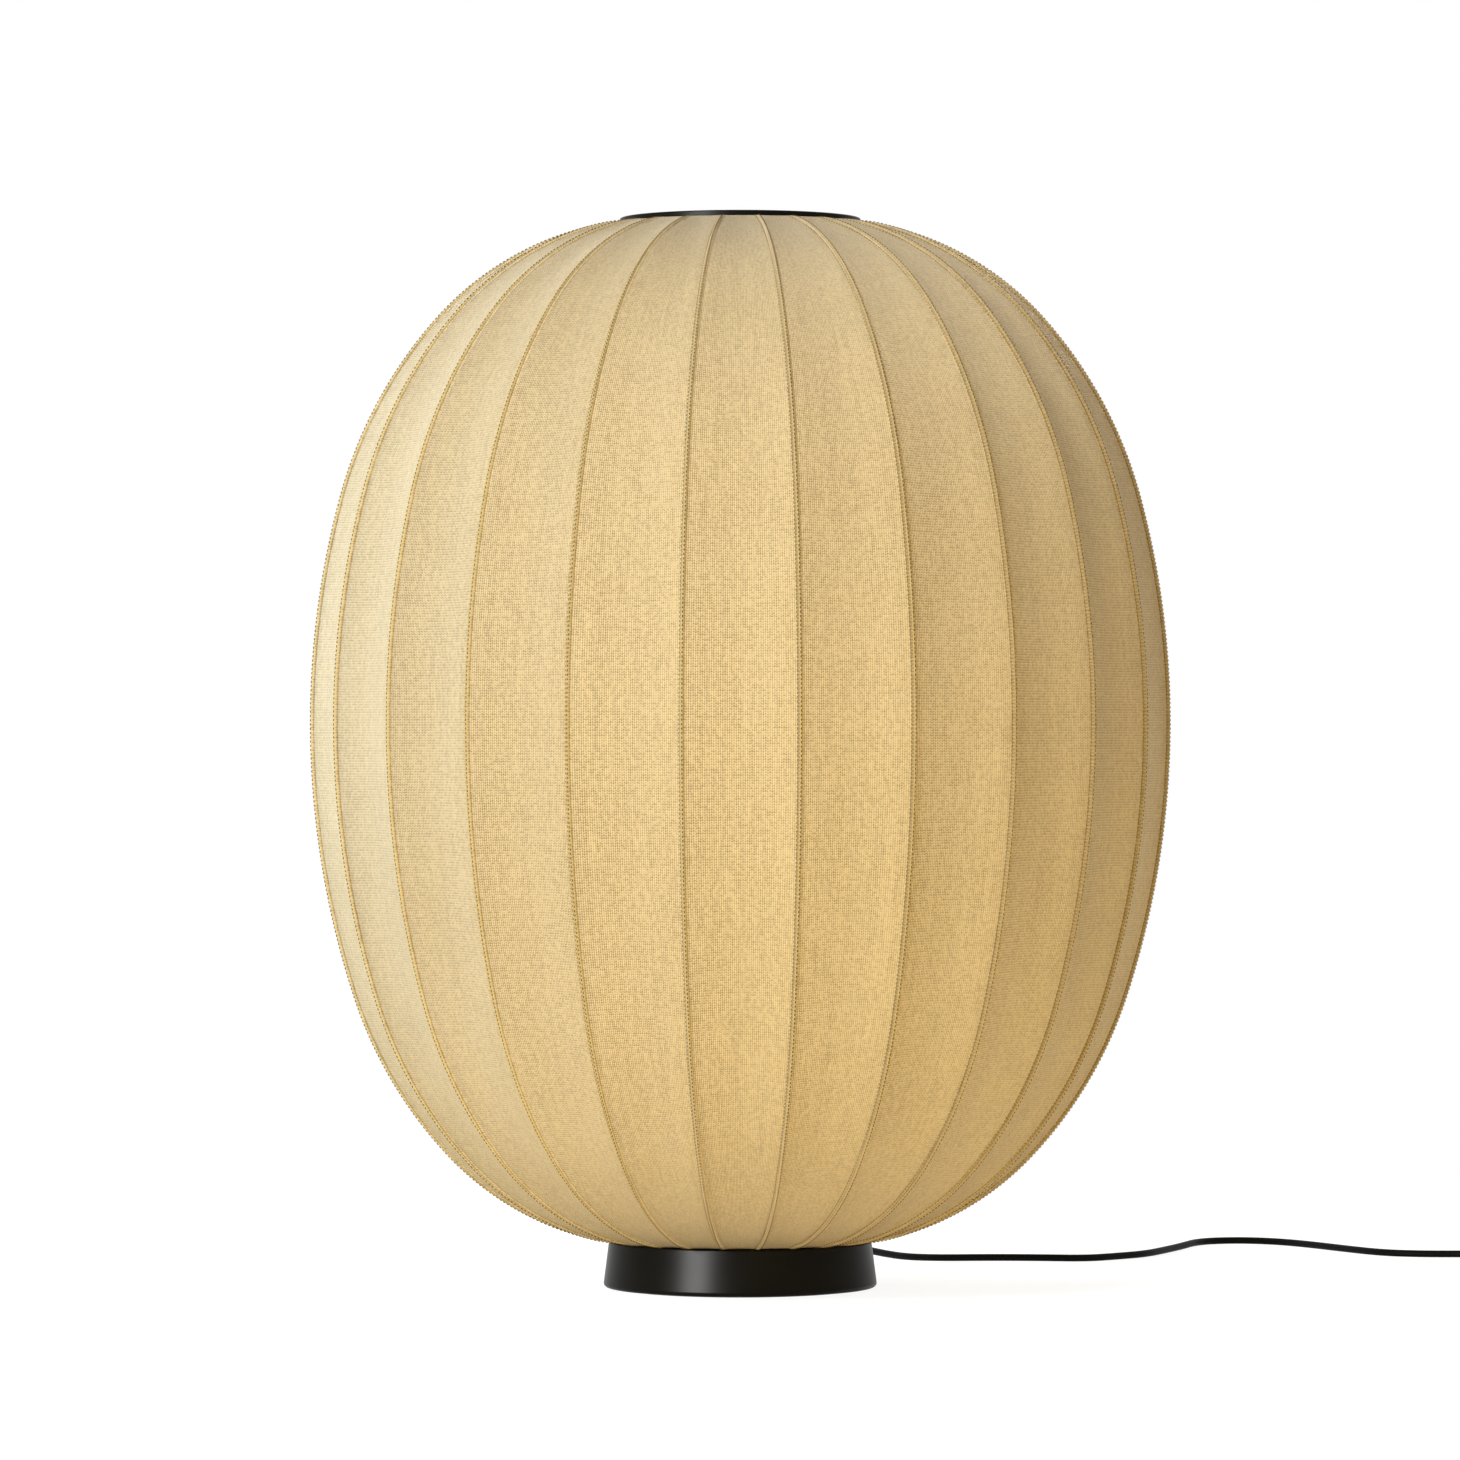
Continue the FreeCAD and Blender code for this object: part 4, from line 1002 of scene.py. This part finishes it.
@dataclass
class MainsLead:
    """The black lead from the foot's gland through the switch to the coil and the plug.

    Attributes:
        diameter: Thickness of the sheath.
        length: Real length.
        tip: Where the lead leaves the gland.
        route: Places that it passes on the floor, up to the switch.
        through: Places inside the switch and on to the coil.
        coil_centre: Middle of the coil.
        coil_inner: Radius of the innermost turn.
        coil_pitch: Distance between turns beside and above each other.
        coil_low: Height of the lower layer's middle.
        turns: Number of turns.
        per_turn: Points in a turn.
        climb_turns: Turns over which the lead climbs to the upper layer.
        plug_leg: Distances of the points on the straight run from the coil to the plug.
    """

    diameter: float = 5.6 * MM
    length: float = 2.5
    tip: Point = (0.06579, 0.11395, 0.0215)
    route: tuple[Point, ...] = (
        (0.0768, 0.1330, 0.0215),
        (0.0940, 0.1625, 0.0175),
        (0.1110, 0.1920, 0.0115),
        (0.1310, 0.2240, 0.0060),
        (0.1590, 0.2500, 0.0033),
        (0.1960, 0.2610, 0.0028),
        (0.2360, 0.2590, 0.0028),
        (0.2750, 0.2510, 0.0028),
        (0.3030, 0.2760, 0.0028),
        (0.3250, 0.2990, 0.0028),
        (0.3430, 0.3400, 0.0028),
        (0.3590, 0.3810, 0.0028),
        (0.3730, 0.4240, 0.0028),
        (0.3930, 0.4410, 0.0028),
        (0.4170, 0.4430, 0.0028),
        (0.4410, 0.4290, 0.0028),
        (0.4615, 0.4020, 0.0028),
        (0.4870, 0.3560, 0.0028),
        (0.5140, 0.3100, 0.0028),
        (0.5450, 0.2970, 0.0028),
        (0.5750, 0.2970, 0.0028),
        (0.5980, 0.2850, 0.0036),
        (0.6120, 0.2500, 0.0060),
    )
    through: tuple[Point, ...] = (
        (0.6120, 0.2180, 0.0060),
        (0.6120, 0.1860, 0.0060),
        (0.6120, 0.1540, 0.0060),
        (0.6120, 0.1310, 0.0060),
        (0.6120, 0.1086, 0.0038),
        (0.6120, 0.0856, 0.0038),
    )
    coil_centre: tuple[float, float] = (0.65595, 0.0800)
    coil_inner: float = 22.6 * MM
    coil_pitch: float = 6.1 * MM
    coil_low: float = 3.8 * MM
    turns: int = 7
    per_turn: int = 24
    climb_turns: float = 0.5
    plug_leg: Point = (11.2 * MM, 22.4 * MM, 32.0 * MM)

    def _coil(self) -> list[Point]:
        """Turns that spiral in on the floor and out again on top.

        Returns:
            The control points of the turns.
        """
        reverse = self.turns / 2
        outward = 1 / math.cos(math.pi / self.per_turn)
        points = []
        for step in range(self.turns * self.per_turn + 1):
            turn = step / self.per_turn
            radius = (self.coil_inner + self.coil_pitch * abs(turn - reverse)) * outward
            angle = math.pi + 2 * math.pi * turn
            climb = min(max((turn - reverse) / self.climb_turns + 0.5, 0.0), 1.0)
            points.append((
                self.coil_centre[0] + radius * math.cos(angle),
                self.coil_centre[1] + radius * math.sin(angle),
                self.coil_low + self.coil_pitch * climb,
            ))
        return points

    def build(self) -> bpy.types.Object:
        """Lay the lead as one round curve along its control points.

        Returns:
            The lead.
        """
        coil = self._coil()
        end_x, end_y, end_z = coil[-1]
        leg = [(end_x, end_y - run, end_z) for run in self.plug_leg]
        points = [self.tip, *self.route, *self.through, *coil, *leg]
        curve = bpy.data.curves.new("mains_lead", "CURVE")
        curve.dimensions = "3D"
        curve.bevel_depth = 1.0
        curve.bevel_resolution = 5
        curve.use_fill_caps = True
        spline = curve.splines.new("NURBS")
        spline.points.add(len(points) - 1)
        for target, place in zip(spline.points, points):
            target.co = (*place, 1.0)
            target.radius = self.diameter / 2
        spline.order_u = 3
        spline.use_endpoint_u = True
        spline.resolution_u = 6
        lead = bpy.data.objects.new("mains_lead", curve)
        bpy.context.scene.collection.objects.link(lead)
        return lead

    def make(self, wardrobe: Wardrobe, frame: dict) -> list[bpy.types.Object]:
        """Build and dress the lead.

        Args:
            wardrobe: Where the finishes come from.

        Returns:
            The new piece.
        """
        lead = self.build()
        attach(lead, Body.FOOT.value)
        wardrobe.dress_piece(lead, "cord_sheath")
        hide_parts("cord_lead", "cord_tail", "cord_coil")
        return [lead]


# Studio


@dataclass(frozen=True)
class Softbox:
    """A large soft lamp aimed at the middle of the shade.

    Attributes:
        name: Name of the lamp.
        azimuth: Degrees to the right of the camera, seen from the shade.
        elevation: Degrees above the level.
        distance: Distance from the shade.
        size: Width and height.
        level: Brightness that it gives a white card at the shade's middle, were the lamp small.
        colour: Colour, linear.
        mirrored: Whether shiny surfaces show it.
        lights: Whether it lights matt surfaces.
    """

    name: str
    azimuth: float
    elevation: float
    distance: float
    size: tuple[float, float]
    level: float
    colour: Colour = (1.0, 1.0, 1.0)
    mirrored: bool = False
    lights: bool = True

    def place(self, aim: Vector) -> None:
        """Hang the lamp.

        Args:
            aim: The point that it faces.
        """
        turn = math.radians(self.azimuth)
        rise = math.radians(self.elevation)
        back = Vector((math.sin(turn) * math.cos(rise), -math.cos(turn) * math.cos(rise), math.sin(rise)))
        bpy.ops.object.light_add(type="AREA", location=aim + back * self.distance)
        lamp = bpy.context.object
        lamp.name = self.name
        lamp.rotation_euler = back.to_track_quat("Z", "Y").to_euler()
        lamp.data.shape = "RECTANGLE"
        lamp.data.size, lamp.data.size_y = self.size
        lamp.data.energy = self.level * math.pi ** 2 * self.distance ** 2
        lamp.data.color = self.colour
        lamp.visible_camera = False
        lamp.visible_glossy = self.mirrored
        lamp.visible_diffuse = self.lights


@dataclass
class Studio:
    """Camera, pale floor and soft light.

    Attributes:
        camera_at: Place of the camera, which looks level along +Y.
        lens: Focal length in millimetres on a 36 mm sensor.
        floor_size: Side of the floor.
        floor_colour: Colour of the floor, linear.
        ambient: Light from all round.
        shadow_share: How much of the floor's own shading shows.
        floor_glow: White that the seen floor has near the lamp without any light.
        shadow_reach: Distances from the lamp where the seen floor's shading starts and is full.
        softboxes: The lamps.
    """

    camera_at: Point = (-0.0077, -5.191, 0.4214)
    lens: float = 169.35
    floor_size: float = 60.0
    floor_colour: Colour = (0.90, 0.82, 0.66)
    ambient: float = 0.06
    shadow_share: float = 0.30
    floor_glow: float = 0.88
    shadow_reach: tuple[float, float] = (1.6, 0.5)
    softboxes: tuple[Softbox, ...] = (
        Softbox("key_box", -28.0, 32.0, 3.0, (0.8, 0.8), 0.505, (0.93, 0.99, 1.0)),
        Softbox("left_rim", -130.0, 20.0, 2.3, (1.4, 1.3), 1.05, (0.85, 0.94, 1.0)),
        Softbox("left_strip", -98.0, 4.0, 0.8, (0.4, 0.9), 0.42, (0.71, 0.91, 1.0)),
        Softbox("right_fill", 68.0, -5.0, 2.2, (1.0, 0.5), 0.07, (1.0, 0.50, 0.20)),
        Softbox("right_rim", 150.0, -4.0, 2.2, (1.0, 0.5), 0.80, (0.88, 0.95, 1.0)),
        Softbox("top_box", -25.0, 66.0, 2.4, (1.6, 1.6), 0.70, (1.0, 0.92, 0.75)),
        Softbox("low_box", 10.0, -11.0, 1.6, (1.6, 0.3), 0.47, (1.0, 0.81, 0.36)),
        Softbox("table_glow", 0.0, -90.0, 0.39, (1.5, 1.5), 1.15, (1.0, 0.72, 0.28)),
        Softbox("glint_strip", -38.0, 3.0, 2.6, (0.9, 0.8), 3.30, mirrored=True, lights=False),
    )

    def _camera(self) -> None:
        """Set the camera at the photograph's view."""
        bpy.ops.object.camera_add(location=self.camera_at, rotation=(math.pi / 2, 0.0, 0.0))
        camera = bpy.context.object
        camera.name = "photo_camera"
        camera.data.lens = self.lens
        camera.data.sensor_width = 36.0
        camera.data.clip_end = 200.0
        bpy.context.scene.camera = camera

    def _world(self) -> None:
        """Even light from all round, with a white backdrop for what is seen."""
        world = bpy.data.worlds.new("studio")
        bpy.context.scene.world = world
        world.use_nodes = True
        graph = NodeGraph(world.node_tree)
        light = graph.node("Background", {"Color": WHITE, "Strength": self.ambient})
        white = graph.node("Background", {"Color": WHITE, "Strength": 1.0})
        inputs = {0: graph.seen(), 1: light.outputs[0], 2: white.outputs[0]}
        mixed = graph.node("MixShader", inputs)
        graph.node("OutputWorld", {"Surface": mixed.outputs[0]})

    def _floor(self) -> None:
        """A wide pale floor that keeps a faint shadow."""
        bpy.ops.mesh.primitive_plane_add(size=self.floor_size, location=(0.0, 0.0, 0.0))
        floor = bpy.context.object
        floor.name = "floor"
        graph = MaterialGraph("pale_floor")
        own = graph.node("BsdfDiffuse", {"Color": (*self.floor_colour, 1.0)})
        faint = graph.node("BsdfDiffuse", {"Color": (*[self.shadow_share] * 3, 1.0)})
        white = graph.node("Emission", {"Strength": self.floor_glow})
        bright = graph.node("AddShader", {0: faint.outputs[0], 1: white.outputs[0]})
        pure = graph.node("Emission", {"Strength": 1.0})
        reach = graph.node("VectorMath", {0: graph.place()}, operation="LENGTH")
        near = Signal(graph, reach.outputs["Value"]).eased(*self.shadow_reach)
        inputs = {0: near, 1: pure.outputs[0], 2: bright.outputs[0]}
        backdrop = graph.node("MixShader", inputs)
        inputs = {0: graph.seen(), 1: own.outputs[0], 2: backdrop.outputs[0]}
        shown = graph.node("MixShader", inputs)
        graph.node("OutputMaterial", {"Surface": shown.outputs[0]})
        floor.data.materials.append(graph.material)

    def make(self) -> None:
        """Set up the whole studio."""
        bpy.ops.object.select_all(action="DESELECT")
        bpy.context.scene.view_settings.view_transform = "Standard"
        low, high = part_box("knitted_cover")
        self._camera()
        self._world()
        self._floor()
        for softbox in self.softboxes:
            softbox.place((low + high) / 2)


def report(pieces: Iterable[bpy.types.Object]) -> None:
    """Log each piece with its faces."""
    for piece in pieces:
        faces = len(piece.data.polygons) if piece.type == "MESH" else 0
        LOG.info("%s: %s, %d faces", piece.name, piece.type.lower(), faces)


def main() -> None:
    """Build the lamp's looks and its studio."""
    logging.basicConfig(level=logging.INFO)
    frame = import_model()
    wardrobe = Wardrobe()
    wardrobe.dress_construction(frame)
    Studio().make()
    report(MainsLead().make(wardrobe, frame))
    report(KnittedCover().make(wardrobe))
    bpy.context.view_layer.update()


if __name__ == "__main__":
    main()
